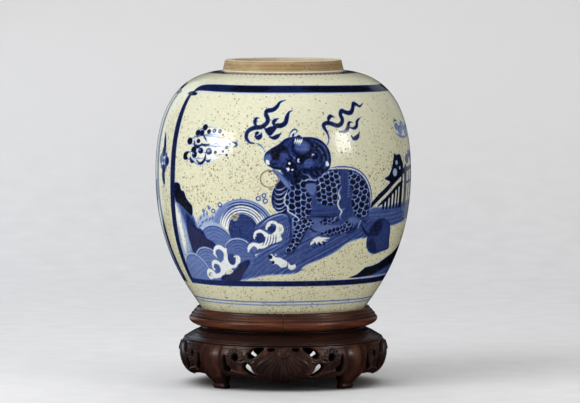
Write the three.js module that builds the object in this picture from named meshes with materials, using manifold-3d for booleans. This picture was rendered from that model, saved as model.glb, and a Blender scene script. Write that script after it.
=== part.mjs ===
// Globular ginger jar with a short bare neck, standing loose on a round carved hardwood stand.
// Millimetres, +Z up. The origin is on the ground, on the jar's axis. The stand's front apron
// faces -Y, its four legs stand at 45 degrees between the aprons.
// The stand is joined as such stands are: four moulded rim arcs with loose splines, a floating
// seat panel with a batten, four shoulder arcs, four legs with top tenons, four pierced aprons.
import * as THREE from 'three';
import { mergeVertices } from 'three/addons/utils/BufferGeometryUtils.js';
import Module from 'manifold-3d';

const wasm = await Module();
wasm.setup();

// ---------------------------------------------------------------- driving dimensions
const GAP = 0.3;                    // clearance between pieces that touch
const JAR_FACETS = 48;              // facets in a full turn of the jar
const STAND_FACETS = 48;            // facets in a full turn of the stand

const SEAT_Z = 60;                  // top of the seat that the jar's foot rests on
const RIM_TOP_Z = 65.4;             // top of the moulded rim, outside the jar's foot
const RIM_BOTTOM_Z = 49.6;          // joint between the rim and the shoulder arcs
const APRON_TOP_Z = 38.1;           // joint between the shoulder arcs and the aprons and legs
const APRON_EDGE_Z = 12;            // lower edge of an apron beside its pendant
const PENDANT_Z = 7.6;              // lowest point of the pendant in the middle of an apron

const FOOT_RADIUS = 70.6;           // jar's foot, outside
const JAR_RADIUS = 109.8;           // jar's widest
const JAR_WIDEST_Z = 181;
const NECK_Z = 268.6;               // where the bare neck leaves the glazed shoulder
const LIP_Z = 278;                  // flat top of the neck
const NECK_RADIUS = 51.8;
const LIP_RADIUS = 49.8;
const MOUTH_RADIUS = 44.2;          // inside of the lip
const WALL = 5.6;                   // thickness of the jar's wall

const SEAT_BORE_RADIUS = 61;        // inside of the rim frame, where the floating panel shows
const FOOT_RECESS_RADIUS = 71.4;    // recess of the rim that holds the jar's foot
const TENON_INNER = 62;             // leg tenon, nearest to the axis
const TENON_OUTER = 68;
const TENON_TOP_Z = 54.2;
const TENON_WIDTH = 9;

const PANEL_BOTTOM_Z = 54;          // underside of the seat panel
const SPLINE = { reach: 7, inner: 66, outer: 73, bottom: 52.6, top: 55 };
const BATTEN = { halfLength: 56, halfWidth: 6, bottom: 50.2, top: 55.4, flare: 1.2 };
const TONGUE = { inner: 81.6, outer: 84.4, depth: 2.4, bottom: 19, top: 34 };
const APRON_FACE_RADIUS = 89;       // carved face of an apron, on average

const LEG_COUNT = 4;
const QUARTER = Math.PI / 2;
const LEG_HALF_WIDTH = 12.1;        // half of a leg's plain face
const FOOT_HALF_WIDTH = 6.6;        // half of the leg where it narrows above its foot
const SIDE_NAMES = ['front', 'right', 'back', 'left'];
const CORNER_NAMES = ['front_right', 'back_right', 'back_left', 'front_left'];

// ---------------------------------------------------------------- solids
function solid(geometry) {
  // A closed geometry as a manifold solid, from its positions alone.
  const bare = geometry.index ? geometry.toNonIndexed() : geometry.clone();
  for (const name of Object.keys(bare.attributes)) {
    if (name !== 'position') bare.deleteAttribute(name);
  }
  const merged = mergeVertices(bare, 1e-4);
  return new wasm.Manifold(new wasm.Mesh({
    numProp: 3,
    vertProperties: Float32Array.from(merged.attributes.position.array),
    triVerts: Uint32Array.from(merged.index.array),
  }));
}

function geometryOf(manifold) {
  const mesh = manifold.getMesh();
  const geometry = new THREE.BufferGeometry();
  geometry.setAttribute('position', new THREE.BufferAttribute(Float32Array.from(mesh.vertProperties), 3));
  geometry.setIndex(new THREE.BufferAttribute(Uint32Array.from(mesh.triVerts), 1));
  return geometry;
}

function turned(points, facets) {
  // Turns an outline of [radius, height] points about +Z. The outline closes on itself or
  // starts and ends on the axis, and runs anticlockwise with the radius to the right.
  const outline = points.map(([radius, height]) => new THREE.Vector2(radius, height));
  const geometry = new THREE.LatheGeometry(outline, facets);
  geometry.rotateX(QUARTER);
  return solid(geometry);
}

function ring(points) {
  return turned([...points, points[0]], STAND_FACETS);
}

function block(x0, x1, y0, y1, z0, z1) {
  const geometry = new THREE.BoxGeometry(x1 - x0, y1 - y0, z1 - z0);
  geometry.translate((x0 + x1) / 2, (y0 + y1) / 2, (z0 + z1) / 2);
  return solid(geometry);
}

function prism(shape, near, far, segments) {
  // Extrudes a shape drawn as seen from the front (x to the right, y up) from radius `far`
  // in towards radius `near`, on the -Y side.
  const geometry = new THREE.ExtrudeGeometry(shape, {
    depth: far - near, bevelEnabled: false, curveSegments: segments,
  });
  geometry.rotateX(QUARTER);
  geometry.translate(0, -near, 0);
  return solid(geometry);
}

function spun(manifold, angle) {
  // Turns a solid about +Z, by an angle in radians.
  return manifold.rotate([0, 0, THREE.MathUtils.radToDeg(angle)]);
}

function wedge(halfAngle, trim) {
  // A wedge about the -Y direction, its two flanks pulled in by `trim`.
  const reach = 160;
  const shape = new THREE.Shape();
  const tip = trim / Math.sin(halfAngle);
  shape.moveTo(0, -tip);
  shape.lineTo(reach * Math.sin(halfAngle), -tip - reach * Math.cos(halfAngle));
  shape.lineTo(-reach * Math.sin(halfAngle), -tip - reach * Math.cos(halfAngle));
  const geometry = new THREE.ExtrudeGeometry(shape, { depth: reach, bevelEnabled: false });
  geometry.translate(0, 0, -reach / 4);
  return solid(geometry);
}

function bezierPoints(controls, count) {
  const [a, b, c, d] = controls.map(([radius, height]) => new THREE.Vector2(radius, height));
  const curve = new THREE.CubicBezierCurve(a, b, c, d);
  return curve.getPoints(count).map((point) => [point.x, point.y]);
}

// ---------------------------------------------------------------- materials
function glazeMaterial() {
  return new THREE.MeshStandardMaterial({ color: 0xd9d6b4, roughness: 0.18, metalness: 0 });
}

function hardwoodMaterial() {
  return new THREE.MeshStandardMaterial({ color: 0x3a1c14, roughness: 0.35, metalness: 0 });
}

function innerWoodMaterial() {
  return new THREE.MeshStandardMaterial({ color: 0x5a3524, roughness: 0.7, metalness: 0 });
}

// ---------------------------------------------------------------- jar
function jarOutside() {
  const belly = bezierPoints([
    [FOOT_RADIUS + 0.2, RIM_TOP_Z + 0.1], [84.4, 85.5], [JAR_RADIUS, 117.3], [JAR_RADIUS, JAR_WIDEST_Z],
  ], 9);
  const shoulder = bezierPoints([
    [JAR_RADIUS, JAR_WIDEST_Z], [JAR_RADIUS, 245.9], [84.8, 265], [55, 268.4],
  ], 10);
  return [...belly, ...shoulder.slice(1)];
}

function jarInside() {
  const shoulder = bezierPoints([
    [MOUTH_RADIUS + 1.5, NECK_Z - WALL], [80, 259], [JAR_RADIUS - WALL, 242], [JAR_RADIUS - WALL, JAR_WIDEST_Z],
  ], 6);
  const belly = bezierPoints([
    [JAR_RADIUS - WALL, JAR_WIDEST_Z], [JAR_RADIUS - WALL, 121], [78, 88], [52, 74.5],
  ], 6);
  return [...shoulder, ...belly.slice(1)];
}

function jarBody() {
  const footZ = SEAT_Z + GAP;
  const footRing = [
    [0, footZ + 6], [59, footZ + 6], [62.5, footZ + 4.5], [64, footZ],
    [FOOT_RADIUS - 1, footZ], [FOOT_RADIUS, footZ + 1],
  ];
  const neck = [
    [NECK_RADIUS, NECK_Z + 0.3], [NECK_RADIUS - 0.4, NECK_Z + 2], [LIP_RADIUS + 0.1, LIP_Z - 0.9],
    [LIP_RADIUS - 0.9, LIP_Z], [MOUTH_RADIUS + 0.8, LIP_Z], [MOUTH_RADIUS, LIP_Z - 0.8],
  ];
  const outline = [...footRing, ...jarOutside(), ...neck, ...jarInside(), [0, 73]];
  return turned(outline, JAR_FACETS);
}

// ---------------------------------------------------------------- stand: turned outlines
function rimOutline() {
  return [
    [SEAT_BORE_RADIUS, RIM_BOTTOM_Z], [70.2, RIM_BOTTOM_Z], [74.6, 51.2], [78.2, 53.3], [80.4, 55.4],
    [81, 57.4], [80.2, 59.6], [78.2, 61.2], [75.6, 62.6], [74.4, 64.3], [72.8, RIM_TOP_Z],
    [FOOT_RECESS_RADIUS, RIM_TOP_Z - 0.6], [FOOT_RECESS_RADIUS, SEAT_Z],
    [SEAT_BORE_RADIUS, SEAT_Z], [SEAT_BORE_RADIUS, 58.5], [64.5, 58.5], [64.5, 55.5], [SEAT_BORE_RADIUS, 55.5],
  ];
}

function shoulderOutline() {
  const bottom = APRON_TOP_Z + GAP;
  const top = RIM_BOTTOM_Z - GAP;
  return [
    [60, bottom], [76.7, bottom], [76.7, bottom + 2.5], [80.3, bottom + 2.5], [80.3, bottom],
    [85.4, bottom], [85.6, 39.5], [84.4, 40.1], [82.6, 41.6], [79.6, 43.4], [76, 45.2], [74.2, 46],
    [71.4, 47.4], [69.8, 48.2], [69.8, top], [60, top],
  ];
}

function apronSection() {
  // Outline of an apron cut through from front to back: the carved face, then the plain back.
  return [
    [77.6, PENDANT_Z + 0.4], [78.8, PENDANT_Z], [81.2, 9.2], [84.4, 12.6], [86.9, 16.4], [88.5, 20.8],
    [89.4, 25.4], [89.3, 29.6], [88.4, 33.6], [86.7, APRON_TOP_Z], [80, APRON_TOP_Z],
    [80, APRON_TOP_Z + 2.5], [77, APRON_TOP_Z + 2.5], [77, 36], [79.2, 32], [80.6, 26], [79.4, 19],
    [76.4, 12.6],
  ];
}

function legSection() {
  // Outline of a leg seen from its side: the plain bulging face, the foot, the hollow back.
  return [
    [67, 0], [77.6, 0], [79, 1], [79.2, 3.6], [78.4, 4.4], [80.6, 6.8], [84.8, 11], [88, 15.8], [90, 21],
    [91, 26.4], [90.6, 31], [89, 35.4], [87.4, APRON_TOP_Z], [60.4, APRON_TOP_Z], [60.4, 34],
    [66, 29], [71.6, 22], [73, 15], [70.6, 8], [67, 3],
  ];
}

// ---------------------------------------------------------------- stand: pieces
function rimArc() {
  // One quarter of the rim, centred on a leg, with slots for the splines at its two ends,
  // and a blind mortise underneath for the leg's tenon.
  const arc = ring(rimOutline()).intersect(wedge(QUARTER / 2, GAP / 2));
  const mortise = block(-TENON_WIDTH / 2 - GAP, TENON_WIDTH / 2 + GAP, -TENON_OUTER - GAP,
    -TENON_INNER + GAP, RIM_BOTTOM_Z - 1, TENON_TOP_Z + GAP);
  const slot = block(-SPLINE.reach - GAP, SPLINE.reach + GAP, -SPLINE.outer - GAP,
    -SPLINE.inner + GAP, SPLINE.bottom - GAP, SPLINE.top + GAP);
  return arc.subtract(mortise)
    .subtract(spun(slot, QUARTER / 2))
    .subtract(spun(slot, -QUARTER / 2));
}

function rimSpline() {
  return block(-SPLINE.reach, SPLINE.reach, -SPLINE.outer, -SPLINE.inner, SPLINE.bottom, SPLINE.top);
}

function battenShape(growth) {
  // Dovetailed section of the batten: wider at its top, which is held in the seat panel.
  const { halfWidth, bottom, top, flare } = BATTEN;
  const shape = new THREE.Shape();
  shape.moveTo(-halfWidth - growth, bottom - growth);
  shape.lineTo(halfWidth + growth, bottom - growth);
  shape.lineTo(halfWidth + growth, PANEL_BOTTOM_Z);
  shape.lineTo(halfWidth + flare + growth, top + growth);
  shape.lineTo(-halfWidth - flare - growth, top + growth);
  shape.lineTo(-halfWidth - growth, PANEL_BOTTOM_Z);
  return shape;
}

function seatBatten() {
  return spun(prism(battenShape(0), -BATTEN.halfLength, BATTEN.halfLength, 1), QUARTER);
}

function seatPanel() {
  const edge = SEAT_BORE_RADIUS - GAP;
  const tongue = 64.5 - GAP;
  const disc = turned([
    [0, PANEL_BOTTOM_Z], [edge, PANEL_BOTTOM_Z], [edge, 55.5 + GAP], [tongue, 55.5 + GAP], [tongue, 58.5 - GAP],
    [edge, 58.5 - GAP], [edge, SEAT_Z], [0, SEAT_Z],
  ], STAND_FACETS);
  return disc.subtract(spun(prism(battenShape(GAP), -80, 80, 1), QUARTER));
}

function shoulderArc() {
  // One quarter of the shoulder moulding, between two legs' tenons, half of each mortise at its ends.
  const arc = ring(shoulderOutline()).intersect(wedge(QUARTER / 2, GAP / 2));
  const mortise = block(-TENON_WIDTH / 2 - GAP, TENON_WIDTH / 2 + GAP, -TENON_OUTER - GAP,
    -TENON_INNER + GAP, APRON_TOP_Z - 1, RIM_BOTTOM_Z + 1);
  return arc.subtract(spun(mortise, QUARTER / 2)).subtract(spun(mortise, -QUARTER / 2));
}

function legOutlineShape() {
  // A leg seen from straight in front of it: parallel above, drawn in to the foot by ogee curves.
  const shape = new THREE.Shape();
  const upper = 19;
  shape.moveTo(-FOOT_HALF_WIDTH + 0.4, 0);
  shape.lineTo(FOOT_HALF_WIDTH - 0.4, 0);
  shape.lineTo(FOOT_HALF_WIDTH + 0.8, 1.4);
  shape.lineTo(FOOT_HALF_WIDTH + 0.8, 3.8);
  shape.lineTo(FOOT_HALF_WIDTH, 4.6);
  shape.bezierCurveTo(FOOT_HALF_WIDTH, 9, LEG_HALF_WIDTH, 10, LEG_HALF_WIDTH, upper);
  shape.lineTo(LEG_HALF_WIDTH, APRON_TOP_Z);
  shape.lineTo(-LEG_HALF_WIDTH, APRON_TOP_Z);
  shape.lineTo(-LEG_HALF_WIDTH, upper);
  shape.bezierCurveTo(-LEG_HALF_WIDTH, 10, -FOOT_HALF_WIDTH, 9, -FOOT_HALF_WIDTH, 4.6);
  shape.lineTo(-FOOT_HALF_WIDTH - 0.8, 3.8);
  shape.lineTo(-FOOT_HALF_WIDTH - 0.8, 1.4);
  return shape;
}

function apronTongue(growth) {
  // Tongue on each end of an apron. Grown by the clearance, it is the groove in the leg's flank.
  const { inner, outer, depth, bottom, top } = TONGUE;
  const flank = LEG_HALF_WIDTH;
  return block(flank - depth - growth, flank + 2.5, -outer - growth, -inner + growth,
    bottom - growth, top + growth);
}

function leg() {
  const body = ring(legSection()).intersect(prism(legOutlineShape(), 40, 120, 6));
  const tenon = block(-TENON_WIDTH / 2, TENON_WIDTH / 2, -TENON_OUTER, -TENON_INNER,
    APRON_TOP_Z - 1, TENON_TOP_Z);
  const groove = apronTongue(GAP);
  return body.add(tenon).subtract(groove).subtract(groove.mirror([1, 0, 0]));
}

function piercing(points) {
  // A soft-cornered opening through its own few points, drawn in a plane facing outwards.
  const curve = new THREE.CatmullRomCurve3(
    points.map(([x, y]) => new THREE.Vector3(x, y, 0)), true, 'centripetal');
  const shape = new THREE.Shape();
  const outline = curve.getPoints(points.length * 2);
  outline.slice(0, -1).forEach((point, index) => {
    if (index === 0) shape.moveTo(point.x, point.y);
    else shape.lineTo(point.x, point.y);
  });
  return shape;
}

// Openings on one half of an apron. `at` is the distance along the curved face from its middle,
// and the points are offsets along the face and heights.
const PIERCINGS = [
  { at: 52.5, points: [[-3.4, 16.8], [1.2, 16.4], [3.4, 20], [3, 28.6], [1.4, 29.4], [0, 22], [-2.8, 20]] },
  { at: 43.4, points: [[-2.6, 27.6], [0.4, 25.8], [2.8, 28], [1.4, 31.2], [-1.6, 31]] },
  { at: 25, points: [[-7.6, 36.6], [-3, 32.2], [2.6, 28.4], [6.4, 30.4], [3.4, 34.6], [-1, 36.8]] },
  { at: 30, points: [[-5.6, 13.6], [-2, 14], [3.6, 17.4], [6.2, 20.4], [2.8, 24], [-2, 19.6]] },
  { at: 10.6, points: [[-2.8, 35.2], [2.4, 34.6], [2.6, 36.4], [-2.4, 36.8]] },
];

function apronLowerCut() {
  // What is sawn away below an apron, on each side of its hanging pendant.
  const shape = new THREE.Shape();
  const reach = 70;
  shape.moveTo(-reach, -5);
  shape.lineTo(reach, -5);
  shape.lineTo(reach, APRON_EDGE_Z);
  shape.lineTo(46, APRON_EDGE_Z);
  shape.bezierCurveTo(38, APRON_EDGE_Z + 0.6, 32, APRON_EDGE_Z - 2.4, 25, APRON_EDGE_Z - 1);
  shape.bezierCurveTo(20, APRON_EDGE_Z - 0.4, 16, PENDANT_Z, 0, PENDANT_Z);
  shape.bezierCurveTo(-16, PENDANT_Z, -20, APRON_EDGE_Z - 0.4, -25, APRON_EDGE_Z - 1);
  shape.bezierCurveTo(-32, APRON_EDGE_Z - 2.4, -38, APRON_EDGE_Z + 0.6, -46, APRON_EDGE_Z);
  shape.lineTo(-reach, APRON_EDGE_Z);
  return prism(shape, 40, 120, 4);
}

function flankBlock() {
  // The space between two neighbouring legs, as two blocks to cut an apron's ends square to them.
  const width = LEG_HALF_WIDTH + GAP;
  const bar = block(-width, width, -130, -40, -5, 60);
  return spun(bar, QUARTER / 2).add(spun(bar, -QUARTER / 2));
}

function apron() {
  let panel = ring(apronSection()).intersect(wedge(QUARTER / 2, 0)).subtract(flankBlock());
  const tongue = apronTongue(0);
  panel = panel.add(spun(tongue, -QUARTER / 2)).add(spun(tongue.mirror([1, 0, 0]), QUARTER / 2));
  panel = panel.subtract(apronLowerCut());
  for (const { at, points } of PIERCINGS) {
    const right = prism(piercing(points), 60, 100, 1);
    const left = right.mirror([1, 0, 0]);
    panel = panel.subtract(spun(right, at / APRON_FACE_RADIUS)).subtract(spun(left, -at / APRON_FACE_RADIUS));
  }
  return panel;
}

// ---------------------------------------------------------------- assembly
function place(group, name, manifold, material, turn = 0) {
  const mesh = new THREE.Mesh(geometryOf(manifold), material);
  mesh.name = name;
  mesh.rotation.z = turn;
  group.add(mesh);
}

const jarOnStand = new THREE.Group();

const jar = new THREE.Group();
place(jar, 'jar_body', jarBody(), glazeMaterial());

const stand = new THREE.Group();
place(stand, 'seat_panel', seatPanel(), hardwoodMaterial());
place(stand, 'seat_batten', seatBatten(), innerWoodMaterial());
for (let index = 0; index < LEG_COUNT; index += 1) {
  const sideTurn = index * QUARTER;
  const cornerTurn = sideTurn + QUARTER / 2;
  const side = SIDE_NAMES[index];
  const corner = CORNER_NAMES[index];
  place(stand, `rim_arc_${corner}`, rimArc(), hardwoodMaterial(), cornerTurn);
  place(stand, `rim_spline_${side}`, rimSpline(), innerWoodMaterial(), sideTurn);
  place(stand, `shoulder_arc_${side}`, shoulderArc(), hardwoodMaterial(), sideTurn);
  place(stand, `leg_${corner}`, leg(), hardwoodMaterial(), cornerTurn);
  place(stand, `apron_${side}`, apron(), hardwoodMaterial(), sideTurn);
}

jarOnStand.add(jar, stand);

export default jarOnStand;
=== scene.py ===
"""Looks of a blue and white ginger jar on its carved hardwood stand, built round the CAD frame.

The jar is one turned mesh. Its painting is drawn in code, on a canvas unrolled from the jar, and
carried as two attributes of the mesh, which the glaze material turns into colour. The stand's
outer pieces are turned arcs and pierced, carved panels. Shapes are given in millimetres, and
meshes and shaders work in metres. Angles round the axis go from the front (-Y) towards +X."""
import math

import bpy
import numpy as np
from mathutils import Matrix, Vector


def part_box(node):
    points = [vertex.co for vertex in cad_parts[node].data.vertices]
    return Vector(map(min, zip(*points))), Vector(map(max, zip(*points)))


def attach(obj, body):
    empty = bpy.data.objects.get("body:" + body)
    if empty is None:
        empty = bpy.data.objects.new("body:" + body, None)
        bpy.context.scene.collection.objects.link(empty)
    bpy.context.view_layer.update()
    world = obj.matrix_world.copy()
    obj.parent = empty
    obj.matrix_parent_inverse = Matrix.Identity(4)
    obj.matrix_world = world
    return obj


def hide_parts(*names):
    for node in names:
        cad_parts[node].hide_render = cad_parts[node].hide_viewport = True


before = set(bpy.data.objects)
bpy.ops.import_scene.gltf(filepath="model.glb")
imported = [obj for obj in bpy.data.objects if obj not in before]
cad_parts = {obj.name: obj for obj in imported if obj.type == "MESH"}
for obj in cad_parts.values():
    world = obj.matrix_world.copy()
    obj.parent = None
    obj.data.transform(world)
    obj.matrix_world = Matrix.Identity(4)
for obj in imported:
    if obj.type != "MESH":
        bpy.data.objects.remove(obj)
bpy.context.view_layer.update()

MM = 0.001
TAU = 2 * math.pi
TINY = 1e-9                         # keeps a division from failing
SEED = 20


# ------------------------------------------------------------------ sizes read from the frame
def box_mm(node):
    low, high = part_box(node)
    return np.array(low) / MM, np.array(high) / MM


JAR_LOW, JAR_HIGH = box_mm("jar_body")
JAR_RADIUS = JAR_HIGH[0]
FOOT_Z, LIP_Z = JAR_LOW[2], JAR_HIGH[2]
RIM_LOW, RIM_HIGH = box_mm("rim_arc_front_right")
RIM_BOTTOM, RIM_TOP = RIM_LOW[2], RIM_HIGH[2]
SHOULDER_BOTTOM = box_mm("shoulder_arc_front")[0][2]
JOINT_GAP = 0.3                     # between two touching pieces
APRON_TOP = SHOULDER_BOTTOM - JOINT_GAP


# ------------------------------------------------------------------ curves
def bezier(p0, p1, p2, p3, count):
    t = np.linspace(0, 1, count)[:, None]
    p0, p1, p2, p3 = (np.array(p, float) for p in (p0, p1, p2, p3))
    return (1 - t) ** 3 * p0 + 3 * (1 - t) ** 2 * t * p1 + 3 * (1 - t) * t ** 2 * p2 + t ** 3 * p3


def smooth(points, step=0.4, closed=False):
    """A Catmull-Rom curve through the points, sampled about every step."""
    p = np.array(points, float)
    if closed:
        p = np.vstack([p[-1], p, p[0], p[1]])
    else:
        p = np.vstack([2 * p[0] - p[1], p, 2 * p[-1] - p[-2]])
    out = []
    for a, b, c, d in zip(p[:-3], p[1:-2], p[2:-1], p[3:]):
        count = max(2, int(np.linalg.norm(c - b) / step) + 1)
        t = np.linspace(0, 1, count, endpoint=False)[:, None]
        out.append(0.5 * (2 * b + (c - a) * t + (2 * a - 5 * b + 4 * c - d) * t ** 2
                          + (3 * b - a - 3 * c + d) * t ** 3))
    if not closed:
        out.append(p[-2][None])
    return np.vstack(out)


def resample(line, step):
    """The same line with points a constant distance apart."""
    gaps = np.linalg.norm(np.diff(line, axis=0), axis=1)
    along = np.concatenate([[0], np.cumsum(gaps)])
    count = max(2, int(round(along[-1] / step)) + 1)
    want = np.linspace(0, along[-1], count)
    return np.column_stack([np.interp(want, along, line[:, k]) for k in range(line.shape[1])])


def ramp(value, low, high):
    """0 below low, 1 above high, smooth between."""
    t = np.clip((value - low) / (high - low), 0, 1)
    return t * t * (3 - 2 * t)


# ------------------------------------------------------------------ meshes
def new_mesh(name, vertices, faces, material):
    """faces: a list of index arrays, each (count, corners)."""
    mesh = bpy.data.meshes.new(name)
    vertices = np.ascontiguousarray(vertices, dtype=np.float32)
    corners = np.concatenate([np.asarray(f, np.int32).ravel() for f in faces])
    sizes = np.concatenate([np.full(len(f), np.asarray(f).shape[1], np.int32) for f in faces])
    mesh.vertices.add(len(vertices))
    mesh.vertices.foreach_set("co", vertices.ravel())
    mesh.loops.add(len(corners))
    mesh.loops.foreach_set("vertex_index", corners)
    mesh.polygons.add(len(sizes))
    starts = np.concatenate([[0], np.cumsum(sizes)[:-1]]).astype(np.int32)
    mesh.polygons.foreach_set("loop_start", starts)
    mesh.polygons.foreach_set("loop_total", sizes)
    mesh.polygons.foreach_set("use_smooth", np.full(len(sizes), True))
    mesh.update(calc_edges=True)
    mesh.validate()
    mesh.materials.append(material)
    piece = bpy.data.objects.new(name, mesh)
    bpy.context.scene.collection.objects.link(piece)
    return piece


def set_attribute(piece, name, values):
    layer = piece.data.attributes.new(name, "FLOAT", "POINT")
    layer.data.foreach_set("value", np.ascontiguousarray(values, dtype=np.float32).ravel())


def around(radius, height, angle):
    """Points at a radius, height (mm) and angle from the front, in metres."""
    return np.stack([radius * np.sin(angle), -radius * np.cos(angle),
                     height + 0 * angle * radius], axis=-1) * MM


def grid_faces(rows, columns, wrap_columns=False, flip=False):
    """Quads of a grid of vertices stored row by row."""
    column = np.arange(columns if wrap_columns else columns - 1)
    r, c = np.meshgrid(np.arange(rows - 1), column, indexing="ij")
    up, across = r + 1, (c + 1) % columns
    quads = np.stack([r * columns + c, r * columns + across,
                      up * columns + across, up * columns + c], axis=-1).reshape(-1, 4)
    return quads[:, ::-1] if flip else quads


ARC_COLUMNS = 96
END_TRIM = 0.15                     # taken off each end of an arc, so that two ends don't touch
END_SOFTENING = 0.35                # how much the ends of an arc are bevelled
GROOVE_REACH = 4                    # points either side that an outline is averaged over
DEEP_GROOVE = 0.13                  # below that average, where a groove is fully in shade


def turned_arc(name, outline, centre, half_angle, material, shade=0.0):
    """A closed outline of (radius, height) swept part of the way round, with softened ends.
    The outline runs anticlockwise. shade is the least depth of painted shade along the outline."""
    outline = np.asarray(outline)
    middle = outline.mean(axis=0)
    reach = np.abs(outline - middle).max(axis=0)
    inset = middle + (outline - middle) * (1 - END_SOFTENING / reach)
    mean_radius = middle[0]
    end = half_angle - END_TRIM / mean_radius
    soft = END_SOFTENING / mean_radius
    angles = np.concatenate([[-end], np.linspace(-end + soft, end - soft, ARC_COLUMNS), [end]]) + centre
    rings = [inset] + [outline] * ARC_COLUMNS + [inset]
    vertices = np.vstack([around(ring[:, 0], ring[:, 1], np.full(len(ring), angle))
                          for ring, angle in zip(rings, angles)])
    count = len(outline)
    sides = grid_faces(ARC_COLUMNS + 2, count, wrap_columns=True, flip=True)
    first = np.arange(count)[None]
    last = (np.arange(count)[::-1] + (ARC_COLUMNS + 1) * count)[None]
    piece = new_mesh(name, vertices, [sides, first, last], material)
    # Painted shade: grooves are painted darker the deeper they sink below the outline around them, carried as
    # the attribute 'hollow'.
    shifts = range(-GROOVE_REACH, GROOVE_REACH + 1)
    spread = sum(np.roll(outline, shift, axis=0) for shift in shifts) / len(shifts)
    along = np.roll(outline, -1, axis=0) - np.roll(outline, 1, axis=0)
    outward = np.column_stack([along[:, 1], -along[:, 0]]) / (np.linalg.norm(along, axis=1)[:, None] + TINY)
    sunk = ((spread - outline) * outward).sum(axis=1)
    hollow = np.maximum(ramp(sunk, 0.0, DEEP_GROOVE), shade)
    set_attribute(piece, "hollow", np.tile(hollow, ARC_COLUMNS + 2))
    return piece


# ------------------------------------------------------------------ shader helpers
class Shader:
    """A node material built a node at a time."""

    def __init__(self, name):
        self.material = bpy.data.materials.new(name)
        self.material.use_nodes = True
        self.tree = self.material.node_tree
        self.surface = self.tree.nodes["Principled BSDF"]
        self.coordinates = self.tree.nodes.new("ShaderNodeTexCoord").outputs["Object"]

    def node(self, kind, settings=None, **inputs):
        """A node with inputs given by name, or by number as i0, i1 and so on."""
        node = self.tree.nodes.new("ShaderNode" + kind)
        for key, value in (settings or {}).items():
            setattr(node, key, value)
        for key, value in inputs.items():
            numbered = key[0] == "i" and key[1:].isdigit()
            self.put(node.inputs[int(key[1:]) if numbered else key], value)
        return node

    def put(self, socket, value):
        if isinstance(value, bpy.types.NodeSocket):
            self.tree.links.new(value, socket)
        else:
            socket.default_value = value

    def math(self, operation, a, b=0.0, c=0.0, clamp=False):
        return self.node("Math", {"operation": operation, "use_clamp": clamp}, i0=a, i1=b, i2=c).outputs[0]

    def stretched(self, scale):
        return self.node("VectorMath", {"operation": "MULTIPLY"}, i0=self.coordinates, i1=scale).outputs[0]

    def noise(self, scale, detail=2.0, roughness=0.5, distortion=0.0, vector=None):
        return self.node("TexNoise", Vector=vector or self.coordinates, Scale=scale, Detail=detail,
                         Roughness=roughness, Distortion=distortion).outputs[0]

    def span(self, value, low, high, to_low=0.0, to_high=1.0):
        return self.node("MapRange", {"interpolation_type": "SMOOTHSTEP"}, Value=value,
                         i1=low, i2=high, i3=to_low, i4=to_high).outputs[0]

    def mix(self, factor, a, b):
        node = self.node("Mix", {"data_type": "RGBA"})
        self.put(node.inputs[0], factor)
        self.put(node.inputs[6], a)
        self.put(node.inputs[7], b)
        return node.outputs[2]

    def colours(self, factor, stops):
        node = self.node("ValToRGB", Fac=factor)
        elements = node.color_ramp.elements
        while len(elements) < len(stops):
            elements.new(0.5)
        for element, (place, colour) in zip(elements, stops):
            element.position = place
            element.color = (*colour, 1)
        return node.outputs[0]

    def attribute(self, name):
        return self.node("Attribute", {"attribute_name": name}).outputs["Fac"]

    def bump(self, height, distance, strength):
        return self.node("Bump", Height=height, Distance=distance, Strength=strength).outputs[0]

    def finish(self, **inputs):
        for key, value in inputs.items():
            self.put(self.surface.inputs[key.replace("_", " ")], value)
        return self.material


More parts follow.
